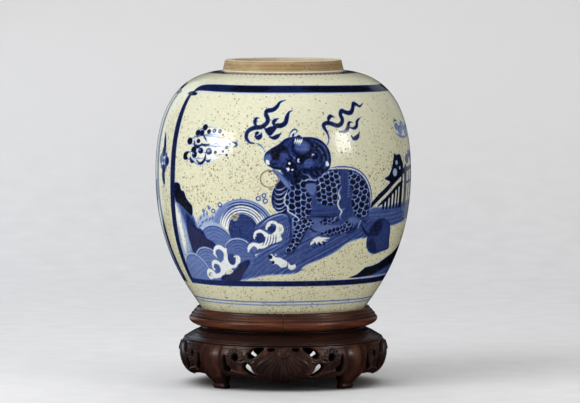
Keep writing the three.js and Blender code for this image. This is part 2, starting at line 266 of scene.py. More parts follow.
# ------------------------------------------------------------------ materials
def glaze_material():
    """Cream glaze over a cobalt painting. The amount of cobalt is the mesh attribute 'cobalt'."""
    sh = Shader("painted_glaze")
    cloud = sh.noise(14.0, 3.0)
    fine = sh.noise(420.0, 3.0, 0.6)
    height = sh.node("SeparateXYZ", Vector=sh.coordinates).outputs[2]
    warm = sh.span(sh.math("ADD", height, sh.math("MULTIPLY", cloud, -0.06)), 0.22, 0.08)
    cream = sh.mix(cloud, (0.65, 0.645, 0.455, 1), (0.745, 0.735, 0.585, 1))
    cream = sh.mix(sh.math("MULTIPLY", warm, 0.7), cream, (0.70, 0.675, 0.45, 1))
    cream = sh.mix(sh.span(fine, 0.35, 0.75, 0.0, 0.3), cream, (0.47, 0.45, 0.29, 1))

    ink = sh.attribute("cobalt")
    pooled = sh.math("MULTIPLY_ADD", sh.noise(260.0, 3.0, 0.65), 0.34, -0.17)
    ink = sh.math("ADD", ink, sh.math("MULTIPLY", pooled, ink), clamp=True)
    blue = sh.colours(ink, [(0.0, (0.58, 0.64, 0.70)), (0.12, (0.38, 0.47, 0.62)),
                            (0.22, (0.215, 0.30, 0.52)), (0.36, (0.105, 0.160, 0.375)),
                            (0.52, (0.032, 0.058, 0.205)), (0.68, (0.010, 0.022, 0.105)),
                            (0.84, (0.005, 0.0085, 0.036)), (1.0, (0.0025, 0.004, 0.012))])
    cream = sh.mix(sh.span(sh.attribute("cobalt"), -0.02, -0.25), cream, (0.74, 0.78, 0.80, 1))
    colour = sh.mix(sh.span(ink, 0.02, 0.13), cream, blue)

    middle = sh.span(height, 0.26, 0.20)    # specks thin out towards the shoulder
    blotch = sh.span(sh.noise(55.0, 2.0), 0.38, 0.62, 0.25, 1.0)
    amount = sh.math("MULTIPLY", middle, blotch)
    bare = sh.math("MULTIPLY", sh.span(sh.attribute("cobalt"), 0.3, 0.05, 0.12, 1.0),
                   sh.span(sh.attribute("cobalt"), -0.2, -0.02, 0.3, 1.0))
    large = sh.math("MULTIPLY", bare, specks(sh, 330.0, 0.34, sh.math("MULTIPLY", amount, 0.8)))
    small = sh.math("MULTIPLY", bare, specks(sh, 560.0, 0.52, sh.math("MULTIPLY_ADD", amount, 1.3, 0.25)))
    grain = sh.span(sh.noise(620.0, 2.0, 0.7), 0.50, 0.68)
    grain = sh.math("MULTIPLY", sh.math("MULTIPLY", grain, bare), sh.math("MULTIPLY_ADD", amount, 0.55, 0.1))
    colour = sh.mix(grain, colour, (0.30, 0.27, 0.20, 1))
    rust = sh.attribute("rust")
    colour = sh.mix(sh.math("MULTIPLY", small, 0.66), colour, (0.15, 0.085, 0.035, 1))
    colour = sh.mix(sh.math("MULTIPLY", large, 0.85), colour, (0.08, 0.04, 0.018, 1))
    colour = sh.mix(sh.math("MULTIPLY", rust, 0.9), colour, (0.095, 0.062, 0.036, 1))

    dips = sh.math("ADD", sh.math("MULTIPLY", large, -0.6), sh.noise(90.0, 2.0))
    dips = sh.math("ADD", dips, sh.math("MULTIPLY", sh.noise(330.0, 2.0, 0.6), 0.45))
    normal = sh.bump(dips, 0.0006, 0.45)
    rough = sh.math("ADD", sh.span(fine, 0.3, 0.7, 0.13, 0.2), sh.math("MULTIPLY", large, 0.3))
    return sh.finish(Base_Color=colour, Roughness=rough, Normal=normal, IOR=1.5,
                     Coat_Weight=0.35, Coat_Roughness=0.06)


def specks(sh, scale, reach, amount):
    """Round iron specks: some cells of a cell texture, each with its own size."""
    cells = sh.node("TexVoronoi", {"feature": "F1"}, Vector=sh.coordinates, Scale=scale, Randomness=1.0)
    lot = sh.node("SeparateColor", Color=cells.outputs["Color"])
    radius = sh.math("MULTIPLY", lot.outputs[1], reach)
    spot = sh.math("SUBTRACT", radius, cells.outputs["Distance"])
    spot = sh.span(spot, -0.02, 0.05)
    chosen = sh.math("GREATER_THAN", sh.math("MULTIPLY", amount, 0.5), lot.outputs[0])
    return sh.math("MULTIPLY", spot, chosen)


def bare_clay_material():
    """Unglazed neck: iron-washed clay with the marks of turning."""
    sh = Shader("bare_neck")
    height = sh.node("SeparateXYZ", Vector=sh.coordinates).outputs[2]
    wobble = sh.math("MULTIPLY", sh.noise(30.0, 2.0), 0.0006)
    marks = sh.noise(1.0, 3.0, 0.7, vector=sh.node(
        "CombineXYZ", Z=sh.math("MULTIPLY", sh.math("ADD", height, wobble), 900.0)).outputs[0])
    blotch = sh.noise(60.0, 4.0, 0.65)
    colour = sh.colours(marks, [(0.32, (0.15, 0.085, 0.035)), (0.5, (0.32, 0.205, 0.095)),
                                (0.66, (0.50, 0.37, 0.19))])
    colour = sh.mix(sh.span(blotch, 0.4, 0.7, 0.0, 0.6), colour, (0.44, 0.36, 0.20, 1))
    colour = sh.mix(specks(sh, 500.0, 0.32, 0.8), colour, (0.06, 0.03, 0.015, 1))
    normal = sh.bump(sh.math("ADD", marks, blotch), 0.0004, 0.5)
    return sh.finish(Base_Color=colour, Roughness=sh.span(blotch, 0.3, 0.7, 0.42, 0.62), Normal=normal)


def lip_material():
    """Flat top of the neck, pale biscuit."""
    sh = Shader("pale_lip")
    blotch = sh.noise(120.0, 4.0, 0.6)
    colour = sh.mix(blotch, (0.46, 0.38, 0.26, 1), (0.70, 0.62, 0.47, 1))
    colour = sh.mix(specks(sh, 600.0, 0.3, 0.7), colour, (0.16, 0.09, 0.04, 1))
    return sh.finish(Base_Color=colour, Roughness=sh.span(blotch, 0.3, 0.7, 0.45, 0.65),
                     Normal=sh.bump(blotch, 0.0003, 0.5))


def foot_material():
    """Unglazed underside of the foot, with a rusty edge."""
    sh = Shader("bare_foot")
    blotch = sh.noise(70.0, 4.0, 0.6)
    colour = sh.mix(blotch, (0.30, 0.19, 0.10, 1), (0.55, 0.45, 0.31, 1))
    return sh.finish(Base_Color=colour, Roughness=sh.span(blotch, 0.3, 0.7, 0.6, 0.8),
                     Normal=sh.bump(sh.noise(500.0, 3.0), 0.0003, 0.6))


def inside_material():
    """Thin greyish glaze inside the jar, with throwing rings."""
    sh = Shader("inner_glaze")
    height = sh.node("SeparateXYZ", Vector=sh.coordinates).outputs[2]
    rings = sh.math("SINE", sh.math("MULTIPLY", height, 700.0))
    blotch = sh.noise(30.0, 3.0)
    colour = sh.mix(blotch, (0.46, 0.43, 0.31, 1), (0.60, 0.58, 0.46, 1))
    return sh.finish(Base_Color=colour, Roughness=sh.span(blotch, 0.3, 0.7, 0.25, 0.4),
                     Normal=sh.bump(rings, 0.0004, 0.4))


def wood_material(name, dark, middle, light, turned=True):
    """Polished dark hardwood. The grain runs level in turned pieces and upright in carved ones. The attribute
    'hollow' is painted shade.
    """
    sh = Shader(name)
    warp = sh.noise(9.0, 2.0)
    grain_scale = (26.0, 26.0, 260.0) if turned else (150.0, 150.0, 40.0)
    streak = sh.noise(1.0, 5.0, 0.62, 0.6, vector=sh.stretched(grain_scale))
    pores = sh.noise(1.0, 3.0, 0.7, vector=sh.stretched([6 * value for value in grain_scale]))
    tone = sh.math("ADD", sh.math("MULTIPLY", streak, 0.75), sh.math("MULTIPLY", warp, 0.25))
    colour = sh.colours(tone, [(0.30, dark), (0.52, middle), (0.72, light)])
    hollow = sh.attribute("hollow")
    colour = sh.mix(sh.span(pores, 0.55, 0.75, 0.0, 0.55), colour, (*dark, 1))
    # Painted shade: 'hollow' darkens the wood almost to black in grooves, recesses and on the backs of
    # panels.
    colour = sh.mix(sh.math("MULTIPLY", hollow, 0.9), colour, (0.004, 0.003, 0.003, 1))
    polish = sh.math("ADD", sh.span(streak, 0.3, 0.7, 0.32, 0.46), sh.math("MULTIPLY", hollow, 0.3))
    normal = sh.bump(sh.math("ADD", pores, sh.math("MULTIPLY", streak, 0.6)), 0.00018, 0.5)
    return sh.finish(Base_Color=colour, Roughness=polish, Normal=normal, IOR=1.5,
                     Coat_Weight=0.28, Coat_Roughness=0.16)


# ------------------------------------------------------------------ the jar
FOOT_RADIUS = 70.6
MOUTH_RADIUS = 44.2
WIDEST_Z = 181.0
SHOULDER_TOP = (55.0, 268.4)        # where the painted glaze ends, under the neck
FRONT_HALF = 150.0                  # half width, along the surface, of the finely meshed front
ROW_STEP, FRONT_STEP, BACK_STEP = 0.6, 0.55, 0.95    # mesh sizes up the jar and round it


def painted_profile():
    """Outside of the jar from the edge of the foot to the neck, as (radius, height)."""
    belly = bezier((FOOT_RADIUS + 0.2, RIM_TOP + 0.1), (84.4, 85.5), (JAR_RADIUS, 117.3),
                   (JAR_RADIUS, WIDEST_Z), 120)
    shoulder = bezier((JAR_RADIUS, WIDEST_Z), (JAR_RADIUS, 245.9), (84.8, 265.0), SHOULDER_TOP, 120)
    edge = smooth([SHOULDER_TOP, (53.6, 268.6), (52.6, 268.95), (52.2, 269.4)], 0.3)
    return resample(np.vstack([belly, shoulder[1:], edge[1:]]), ROW_STEP)


def neck_profile():
    """From the edge of the glaze to the edge of the lip."""
    return smooth([(52.2, 269.4), (51.8, 269.7), (51.5, 271.0), (51.1, 272.4), (50.9, 273.2), (50.6, 274.8),
                   (50.3, 276.2), (50.0, LIP_Z - 0.9), (49.75, LIP_Z - 0.4)], 0.4)[1:]


def lip_profile():
    return smooth([(49.75, LIP_Z - 0.4), (49.2, LIP_Z - 0.08), (48.6, LIP_Z), (47.0, LIP_Z - 0.05),
                   (45.4, LIP_Z), (44.7, LIP_Z - 0.15), (MOUTH_RADIUS, LIP_Z - 0.8), (44.2, 272.0),
                   (44.4, 266.0)], 0.4)[1:]


def inside_profile():
    throat = smooth([(44.4, 266.0), (44.8, 264.4), (45.7, 263.0)], 0.8)
    shoulder = bezier((45.7, 263.0), (80.0, 259.0), (104.2, 242.0), (104.2, WIDEST_Z), 36)
    belly = bezier((104.2, WIDEST_Z), (104.2, 121.0), (78.0, 88.0), (52.0, 74.5), 36)
    base = smooth([(52.0, 74.5), (40.0, 73.3), (20.0, 73.0), (0.5, 73.0)], 4.0)
    return np.vstack([throat[1:], shoulder[1:], belly[1:], base[1:]])


def foot_profile():
    """From the middle of the recessed base out to the foot's edge."""
    base = smooth([(0.5, 6), (30.0, 6.2), (59.0, 6), (62.3, 4.6), (63.4, 1.0), (64.2, 0)], 1.5)
    edge = smooth([(64.2, 0), (67.0, 0), (69.6, 0), (70.4, 0.4), (FOOT_RADIUS, 1.2), (70.7, 3.2)], 0.6)
    return np.vstack([base, edge[1:]]) + (0, FOOT_Z)


def jar_columns():
    """Angles of the mesh's columns from the front, finest across the front."""
    front = FRONT_HALF / JAR_RADIUS
    fine = np.linspace(-front, front, int(2 * FRONT_HALF / FRONT_STEP), endpoint=False)
    count = int((TAU - 2 * front) * JAR_RADIUS / BACK_STEP)
    return np.concatenate([fine, np.linspace(front, TAU - front, count, endpoint=False)])


def build_jar():
    """One closed turned mesh, with a material for each section of its profile."""
    sections = [foot_profile(), painted_profile(), neck_profile(), lip_profile(), inside_profile()]
    materials = [foot_material(), glaze_material(), bare_clay_material(), lip_material(), inside_material()]
    profile = np.vstack(sections)
    angles = jar_columns()
    rows, columns = len(profile), len(angles)
    radius, turn = np.meshgrid(profile[:, 0], angles, indexing="ij")
    height = np.repeat(profile[:, 1:2], columns, axis=1)
    vertices = around(radius.ravel(), height.ravel(), turn.ravel())
    poles = np.array([(0, 0, profile[0, 1]), (0, 0, profile[-1, 1])]) * MM
    around_index = np.arange(columns)
    after = (around_index + 1) % columns
    base = np.stack([np.full(columns, rows * columns), after, around_index], axis=-1)
    top = np.stack([np.full(columns, rows * columns + 1), around_index + (rows - 1) * columns,
                    after + (rows - 1) * columns], axis=-1)
    piece = new_mesh("jar", np.vstack([vertices, poles]),
                     [grid_faces(rows, columns, wrap_columns=True), base, top], materials[0])
    for material in materials[1:]:
        piece.data.materials.append(material)
    section_of_row = np.repeat(np.arange(len(sections)), [len(section) for section in sections])
    quad_rows = np.repeat(section_of_row[1:], columns)
    slots = np.concatenate([quad_rows, np.zeros(columns, int), np.full(columns, len(sections) - 1)])
    piece.data.polygons.foreach_set("material_index", slots.astype(np.int32))

    painted = section_of_row == 1
    layers = painting_at(turn[painted] * JAR_RADIUS, height[painted])
    for name, layer in zip(("cobalt", "rust"), layers):
        values = np.zeros((rows, columns))
        values[painted] = layer
        set_attribute(piece, name, np.concatenate([values.ravel(), [0, 0]]))
    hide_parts("jar_body")
    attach(piece, "jar")


# ------------------------------------------------------------------ the painting
# Places are (s, z): s runs round the body from the front, in mm at its widest, z is the height.
AROUND = TAU * JAR_RADIUS
PALE, LIGHT, MIDDLE, DEEP, NAVY, BLACK = 0.16, 0.32, 0.5, 0.66, 0.82, 1.0
WHITE = -0.3                        # left bare and whiter than the cream ground
PANEL_LEFT, PANEL_RIGHT = -114.0, 197.0
BACK_SHIFT = 428.0                  # the back panel is the front one mirrored, so many mm round
DRAWN_ASIDE, DRAWN_LOWER = 0.8, 1.6    # the drawing as a whole sits this far aside and lower
SCALE_ROWS = 0.70                   # distance between rows of scales, as a share of their pitch
SPRIGS_AT = (-131.5, 214.0)         # on the strips between the panels
LOWEST_PAINT = 91.0                 # of the panels, above the lines round the foot
TEETH = 90                          # round the neck


def ellipse(centre, wide, tall, turn):
    """Points of an ellipse at these angles."""
    return np.column_stack([centre[0] + wide * np.cos(turn), centre[1] + tall * np.sin(turn)])


class Canvas:
    """Cobalt on the unrolled body: 0 is bare glaze, 1 the heaviest blue. Rust is a second layer."""
    STEP = 0.4
    LOW, HIGH = 66.0, 270.0

    def __init__(self):
        self.columns = int(round(AROUND / self.STEP))
        self.rows = int((self.HIGH - self.LOW) / self.STEP)
        self.ink = np.zeros((self.columns, self.rows))
        self.rust = np.zeros((self.columns, self.rows))
        self.random = np.random.default_rng(SEED)
        self.mirrored, self.shift = False, 0.0

    def placed(self, points):
        points = np.array(points, float)
        if self.mirrored:
            points[:, 0] = self.shift - points[:, 0]
        return points

    def window(self, points, margin):
        """Index ranges of the area round some points, and the places of its cells."""
        low, high = points.min(axis=0) - margin, points.max(axis=0) + margin
        i = np.arange(int(low[0] // self.STEP), int(high[0] // self.STEP) + 2)
        j = np.arange(max(0, int((low[1] - self.LOW) / self.STEP)),
                      min(self.rows, int((high[1] - self.LOW) / self.STEP) + 2))
        s, z = np.meshgrid(i * self.STEP, self.LOW + j * self.STEP, indexing="ij")
        return np.ix_(i % self.columns, j), s, z

    def lay(self, cells, value, cover):
        self.ink[cells] += (value - self.ink[cells]) * cover

    def streaks(self, s, z, angle, pitch=1.6, stretch=9.0):
        """Soft brush streaks, about -1 to 1, along an angle in degrees."""
        a = math.radians(angle)
        along, aside = s * math.cos(a) + z * math.sin(a), z * math.cos(a) - s * math.sin(a)
        total = np.zeros(s.shape)
        for octave in range(3):
            size = pitch / 1.9 ** octave
            phase = 7.1 * octave
            bend = 1.3 * np.sin(along / (stretch * size) + phase)
            fade = 2.1 * np.sin(aside / (3 * size) + phase)
            total += (np.sin(aside / size * TAU / 2.3 + phase + bend)
                      * np.cos(along / (stretch * size * 1.7) + fade)) / 1.5 ** octave
        return total / 2

    def clear_below(self, z):
        self.ink[:, :int((z - self.LOW) / self.STEP)] = 0

    def cover_of(self, distance, soft):
        return np.clip(distance / soft + 0.5, 0, 1)

    def fill(self, points, value, soft=0.7, curved=True, streak=0.0, angle=0.0, pool=0.0, dry=0.0, to=None):
        """A filled shape. With to, the tone runs from value at the low end of the angle to that.
        pool darkens the rim, streak adds brush streaks along the angle, dry frays a soft edge."""
        outline = smooth(points, 1.2, closed=True) if curved else np.array(points, float)
        outline = self.placed(outline)
        cells, s, z = self.window(outline, 1.5)
        distance = polygon_distance(outline, s, z)
        tone = np.full(s.shape, float(value))
        side = -1 if self.mirrored else 1
        if to is not None:
            a = math.radians(angle)
            reach = side * s * math.cos(a) + z * math.sin(a)
            inside = distance > 0
            low, high = reach[inside].min(), reach[inside].max()
            tone += (to - value) * np.clip((reach - low) / (high - low + TINY), 0, 1)
        if streak:
            tone += streak * self.streaks(s, z, side * angle)
        if pool:
            tone += pool * np.exp(-np.clip(distance, 0, None) / 0.9)
        if dry:
            distance = distance + dry * self.streaks(s, z, side * angle, pitch=1.1, stretch=14.0)
        self.lay(cells, tone, self.cover_of(distance, soft))

    def stroke(self, points, width, value=NAVY, start=0.3, end=0.15, soft=0.55, swell=0.0, opacity=1.0,
               to=None):
        """A brush line through the points. start and end are the widths at its two ends, as
        shares of width; swell makes its middle wider."""
        line = self.placed(resample(smooth(points, 0.8), 0.5))
        count = len(line)
        t = np.linspace(0, 1, count)
        reach = min(0.5, 12.0 / count + 0.1)
        body = np.minimum(start + (1 - start) * ramp(t, 0, reach), end + (1 - end) * ramp(1 - t, 0, reach))
        half = 0.5 * width * body * (1 + swell * np.sin(math.pi * t))
        cells, s, z = self.window(line, width)
        depth = np.full(s.shape, -9.0)
        i0, z0 = s[0, 0], z[0, 0]
        for first in range(0, count, 16):
            part, wide = line[first:first + 17], half[first:first + 17]
            low = ((part.min(axis=0) - width - 1 - (i0, z0)) / self.STEP).astype(int).clip(0)
            high = ((part.max(axis=0) + width + 1 - (i0, z0)) / self.STEP).astype(int) + 2
            area = (slice(low[0], high[0]), slice(low[1], high[1]))
            gap = np.hypot(s[area][..., None] - part[:, 0], z[area][..., None] - part[:, 1])
            depth[area] = np.maximum(depth[area], (wide - gap).max(axis=-1))
        tone = value
        if to is not None:
            side = 1 if line[-1, 0] >= line[0, 0] else -1
            share = np.clip((s - line[0, 0]) / (line[-1, 0] - line[0, 0] + TINY * side), 0, 1)
            tone = value + (to - value) * share
        self.lay(cells, tone, opacity * self.cover_of(depth, soft))

    def scorch(self, points, value, soft=2.0):
        """A brownish cast over part of the painting."""
        self.ink, self.rust = self.rust, self.ink
        self.fill(points, value, soft=soft)
        self.ink, self.rust = self.rust, self.ink

    def dot(self, place, radius, value=NAVY, tall=1.0):
        self.fill(ellipse(place, radius, radius * tall, np.linspace(0, TAU, 14, endpoint=False)), value)

    def arc(self, centre, wide, tall, start, end, width, value, taper=0.2, opacity=1.0):
        """Part of an ellipse as a brush line, angles in degrees from +s towards +z."""
        turn = np.radians(np.linspace(start, end, max(8, int(abs(end - start) / 9))))
        self.stroke(ellipse(centre, wide, tall, turn), width, value, start=taper, end=taper, opacity=opacity)

    def spiral(self, centre, radius, start, sweep, width, value, shrink=0.75):
        """A curl that winds in towards its centre."""
        t = np.linspace(0, 1, 18)
        turn = np.radians(start + sweep * t)
        reach = radius * (1 - shrink * t)
        self.stroke(ellipse(centre, reach, reach, turn), width, value, start=0.9, end=0.5, swell=0.25)

    def scales(self, region, pitch, angle=-90.0, value=0.95, line=0.06, gap=0.68, jitter=0.13):
        """Overlapping scales inside a closed region. Their free edges, towards the angle, are
        left bare, and each is darkest in its middle."""
        outline = self.placed(smooth(region, 1.2, closed=True))
        low, high = outline.min(axis=0), outline.max(axis=0)
        cells, s, z = self.window(outline, 1.0)
        inside = self.cover_of(polygon_distance(outline, s, z), 0.8)
        side = -1 if self.mirrored else 1
        a = math.radians(angle)
        towards = np.array((side * math.cos(a), math.sin(a)))
        aside = np.array((-towards[1], towards[0]))
        middle, reach = (low + high) / 2, np.linalg.norm(high - low) / 2
        tone = np.full(s.shape, DEEP)
        rows = int(reach / (SCALE_ROWS * pitch)) + 2
        columns = int(reach / pitch) + 1
        for row in range(rows, -rows - 1, -1):
            for place in range(-columns, columns + 1):
                wobble = self.random.uniform(-jitter, jitter, 2) * pitch
                size = 0.53 * pitch * self.random.uniform(0.95, 1.1)
                depth = value + self.random.uniform(-0.08, 0.05)
                centre = middle + towards * (row * SCALE_ROWS * pitch + wobble[0])
                centre = centre + aside * ((place + (row % 2) * 0.5) * pitch + wobble[1])
                first = ((centre - pitch - (s[0, 0], z[0, 0])) / self.STEP).astype(int).clip(0)
                last = ((centre + pitch - (s[0, 0], z[0, 0])) / self.STEP).astype(int).clip(0)
                area = (slice(first[0], last[0]), slice(first[1], last[1]))
                if min(last - first) < 1 or (centre > high + pitch).any():
                    continue
                east, north = s[area] - centre[0], z[area] - centre[1]
                away = np.hypot(east, north)
                free = ramp((east * towards[0] + north * towards[1]) / (away + 1e-6), -0.75, -0.1)
                tone[area] += (line - tone[area]) * self.cover_of(size + gap / 2 - away, 0.5) * free
                flesh = DEEP + (depth - DEEP) * ramp(size - gap / 2 - away, -0.2, 0.5)
                tone[area] += (flesh - tone[area]) * self.cover_of(size - gap / 2 - away, 0.5)
        self.lay(cells, tone, inside)


def paint_frame(c):
    """The line round a panel, thick above and below, with a notched corner."""
    c.stroke([(-120.5, 91), (-120.5, 100), (-118.5, 122), (-115.8, 150), (-113.4, 180), (-112.8, 210),
              (-112.8, 235), (-114, 251)], 7.4, NAVY, start=1, end=0.8)
    c.stroke([(-119.5, 252.6), (-115, 252.9), (-109, 252.4), (-103.5, 252.2)], 3.0, BLACK, start=0.6, end=0.6)
    c.stroke([(-110.5, 253.5), (-109.5, 256), (-104, 257.4), (-90, 257.8), (-40, 257.6), (20, 257.6),
              (80, 257.0), (140, 256.2), (PANEL_RIGHT, 256)], 5.6, NAVY, start=0.8, end=1)
    c.stroke([(-60, 257.8), (-30, 257.4), (-14, 258.2)], 4.6, BLACK)
    c.stroke([(20, 258.2), (40, 257.6), (90, 256.4), (110, 256.6)], 4.2, BLACK)
    c.stroke([(-108, 253.6), (-60, 253.8), (0, 253.9), (60, 253.4), (120, 252.2)], 0.7, PALE, opacity=0.8)
    c.stroke([(-121, 93), (-90, 92.6), (-40, 93.4), (0, 93.8), (60, 93.6), (120, 93.4), (PANEL_RIGHT, 93)],
             4.6, DEEP, start=0.9, end=1, to=BLACK)
    c.stroke([(PANEL_RIGHT, 93), (PANEL_RIGHT + 1, 130), (PANEL_RIGHT - 0.5, 180), (PANEL_RIGHT, 256)],
             5.0, NAVY, start=1, end=1)


def paint_sprig(c, s):
    """A four-petalled flower on its stem, on the strip between two panels."""
    c.stroke([(s + 1, 168), (s - 0.6, 178), (s + 0.4, 190)], 1.4, LIGHT)
    c.fill([(s - 4, 219), (s + 1, 213), (s + 3.4, 205), (s + 1.2, 199), (s - 2.2, 205), (s - 3.4, 212)], NAVY)
    c.fill([(s + 3, 175), (s - 1.5, 177), (s - 3.8, 183), (s - 1.6, 191), (s + 2.4, 185)], NAVY)
    for dx, dz in ((-7, 1), (7, 0), (-1, 7.5), (0.5, -7)):
        c.dot((s + dx, 195 + dz), 4.3, DEEP, tall=0.95)
        c.dot((s + dx * 1.15, 195 + dz * 1.15), 2.4, NAVY)
    for dx, dz in ((-4.6, 5.4), (5, 5), (-5, -5), (5, -4.6)):
        c.dot((s + dx, 195 + dz), 2.2, MIDDLE)
    c.dot((s, 195), 3.3, PALE)
    c.dot((s, 195), 1.4, NAVY)


def paint_cloud(c):
    """A small cluster of spindles edged with dark dots and commas. Towards the right the spindles turn white
    and their dark edges fade: their own white, and painted highlight where the left light box is reflected.
    """
    bands = [((-84, 220), (-72, 222.6), (-57, 222.6), 5.2), ((-92, 213.4), (-70, 214.6), (-43, 211.6), 6.8),
             ((-66, 207.4), (-58, 207), (-49, 204), 5.4), ((-87, 206), (-70, 206.4), (-54, 204.6), 6.2),
             ((-96, 201.4), (-78, 200.8), (-57, 200.4), 6.6), ((-86, 197.8), (-77, 196.8), (-66, 198.4), 4.4)]
    for left, middle, right, width in bands:
        # Partly painted highlight: each spindle's dark edge fades and its fill whitens towards the right,
        # where the left light box is reflected.
        c.stroke([left, middle, right], width + 1.5, NAVY, start=0.4, end=0.12, to=0.12, opacity=0.8)
        c.stroke([left, middle, right], width, 0.0, start=0.4, end=0.1, to=WHITE)
    for place, radius in (((-75, 225.4), 2.8), ((-82.4, 220.8), 2.6), ((-77.6, 220.8), 2.6),
                          ((-70, 222), 2.1), ((-64.5, 222.8), 2.0), ((-58.8, 222.6), 1.7),
                          ((-91, 213.4), 3.2), ((-80.6, 213.8), 2.0), ((-85, 206.4), 2.9),
                          ((-77, 205.8), 2.7), ((-68, 205.6), 3.1), ((-61.4, 205), 1.5),
                          ((-84, 202.2), 2.9), ((-50.6, 209.4), 1.5), ((-54, 206), 1.1),
                          ((-50.4, 203), 1.0)):
        c.dot(place, radius, BLACK, tall=0.9)
    for place, radius in (((-64.9, 223), 1.0), ((-59.2, 223), 0.8), ((-68.8, 206), 1.5), ((-78, 206.4), 0.9),
                          ((-85.4, 203), 1.0)):
        c.dot(place, radius, 0.2)
    c.fill([(-97.8, 199.6), (-96.5, 203.4), (-91, 204.6), (-93.2, 201), (-91.6, 198.4), (-95.8, 197.6)],
           BLACK)
    c.stroke([(-85.6, 213.4), (-84, 209.8), (-80, 208.8), (-76.8, 211.4)], 2.7, NAVY, start=0.5, end=0.4)
    c.stroke([(-77, 211.8), (-72, 210.6), (-67, 212)], 2.2, NAVY)
    c.stroke([(-88.6, 199.4), (-87, 196.6), (-83, 196.4)], 2.9, NAVY, start=0.6)
    c.stroke([(-81, 197.6), (-77.4, 195.2), (-73.4, 197), (-71.4, 201), (-72, 205)], 2.4, NAVY, start=0.5)
    c.stroke([(-71.4, 198.4), (-68.5, 197.2), (-65.2, 199.4)], 2.3, DEEP)
    c.stroke([(-77, 219.6), (-73.6, 216.6), (-70.4, 213)], 1.5, NAVY)
    c.stroke([(-86.6, 218), (-82, 217.4), (-79, 217.8)], 1.2, MIDDLE)
    c.stroke([(-46, 214), (-42.2, 213), (-41.8, 211), (-45, 209.4)], 2.0, NAVY)
    c.stroke([(-48.8, 213.8), (-47.4, 212), (-48, 210.4)], 1.1, DEEP)
    c.stroke([(-66, 211.4), (-60, 212), (-57.6, 209.6)], 1.0, MIDDLE)
    c.stroke([(-68, 218.4), (-63, 219.4), (-58, 218), (-58.6, 214)], 0.6, LIGHT)


# Curling ribbons of flame at the beast's two shoulders, as (points, width).
FLAMES = [
    ([(-26, 213.2), (-30, 214), (-33.2, 218), (-32, 223), (-27, 225.8), (-19.6, 227), (-15.2, 230.4),
      (-14.8, 233.6), (-16.6, 237), (-16, 240), (-10.6, 240.9), (-6.6, 243.6), (-4, 247), (1.2, 248.9)],
     2.9),
    ([(-24, 227), (-26.2, 230), (-25.6, 233.6), (-22.6, 234)], 2.6),
    ([(-17.6, 226.6), (-14.6, 223), (-10.6, 223.6), (-7, 227.6), (-2.8, 228), (1.0, 230.2), (2.6, 235),
      (4.4, 238.8), (7.6, 240.4)], 3.1),
    ([(-8.6, 227), (-9.4, 231), (-6.6, 233.2), (-4.8, 233.8)], 2.6),
    ([(-12.6, 218.6), (-9, 217.8), (-5.2, 219.6), (-2.6, 222)], 3.0),
    ([(-25.4, 219), (-22.8, 217.8), (-20.4, 219.4), (-19.8, 222)], 3.2),
    ([(-25, 219.4), (-24, 221.6), (-21.6, 222)], 2.2),
    ([(39.4, 217), (38.6, 221), (36.4, 225), (35.4, 228), (38.6, 229.8), (43, 229.2), (48.4, 227.4),
      (52.6, 228.8), (54.6, 232.4), (53.6, 236.6), (56, 239.4), (61, 237.8), (65.4, 238), (68.6, 241),
      (71.4, 244.8), (74.6, 244.6), (78, 242.8), (83.5, 245)], 2.8),
    ([(41.2, 229.6), (40.8, 233), (43.4, 235.4), (47, 234.4)], 2.6),
    ([(50, 222.2), (55.6, 222.4), (59, 225.4), (61, 229.6), (65.6, 229.8)], 2.4),
    ([(60.6, 225.8), (65, 224.8), (68.4, 226.6), (70.2, 230.6), (75, 233.6)], 2.3),
    ([(61.4, 218.6), (63.4, 216.2), (67.6, 217.6), (70.8, 221.6)], 3.0),
]


def paint_flames(c):
    for points, width in FLAMES:
        c.stroke(points, width * 1.12, NAVY, start=0.35, end=0.2, swell=0.12)
    c.fill([(-16.6, 224.6), (-13.6, 219.8), (-10, 221), (-7.6, 226.4), (-11, 227.4)], NAVY)
    c.stroke([(-16.4, 206), (-18, 209.4), (-22, 212.6), (-27, 213.4)], 0.9, DEEP)
    c.stroke([(35.4, 210), (38, 212.6), (39.3, 216), (39.4, 219)], 0.9, DEEP)


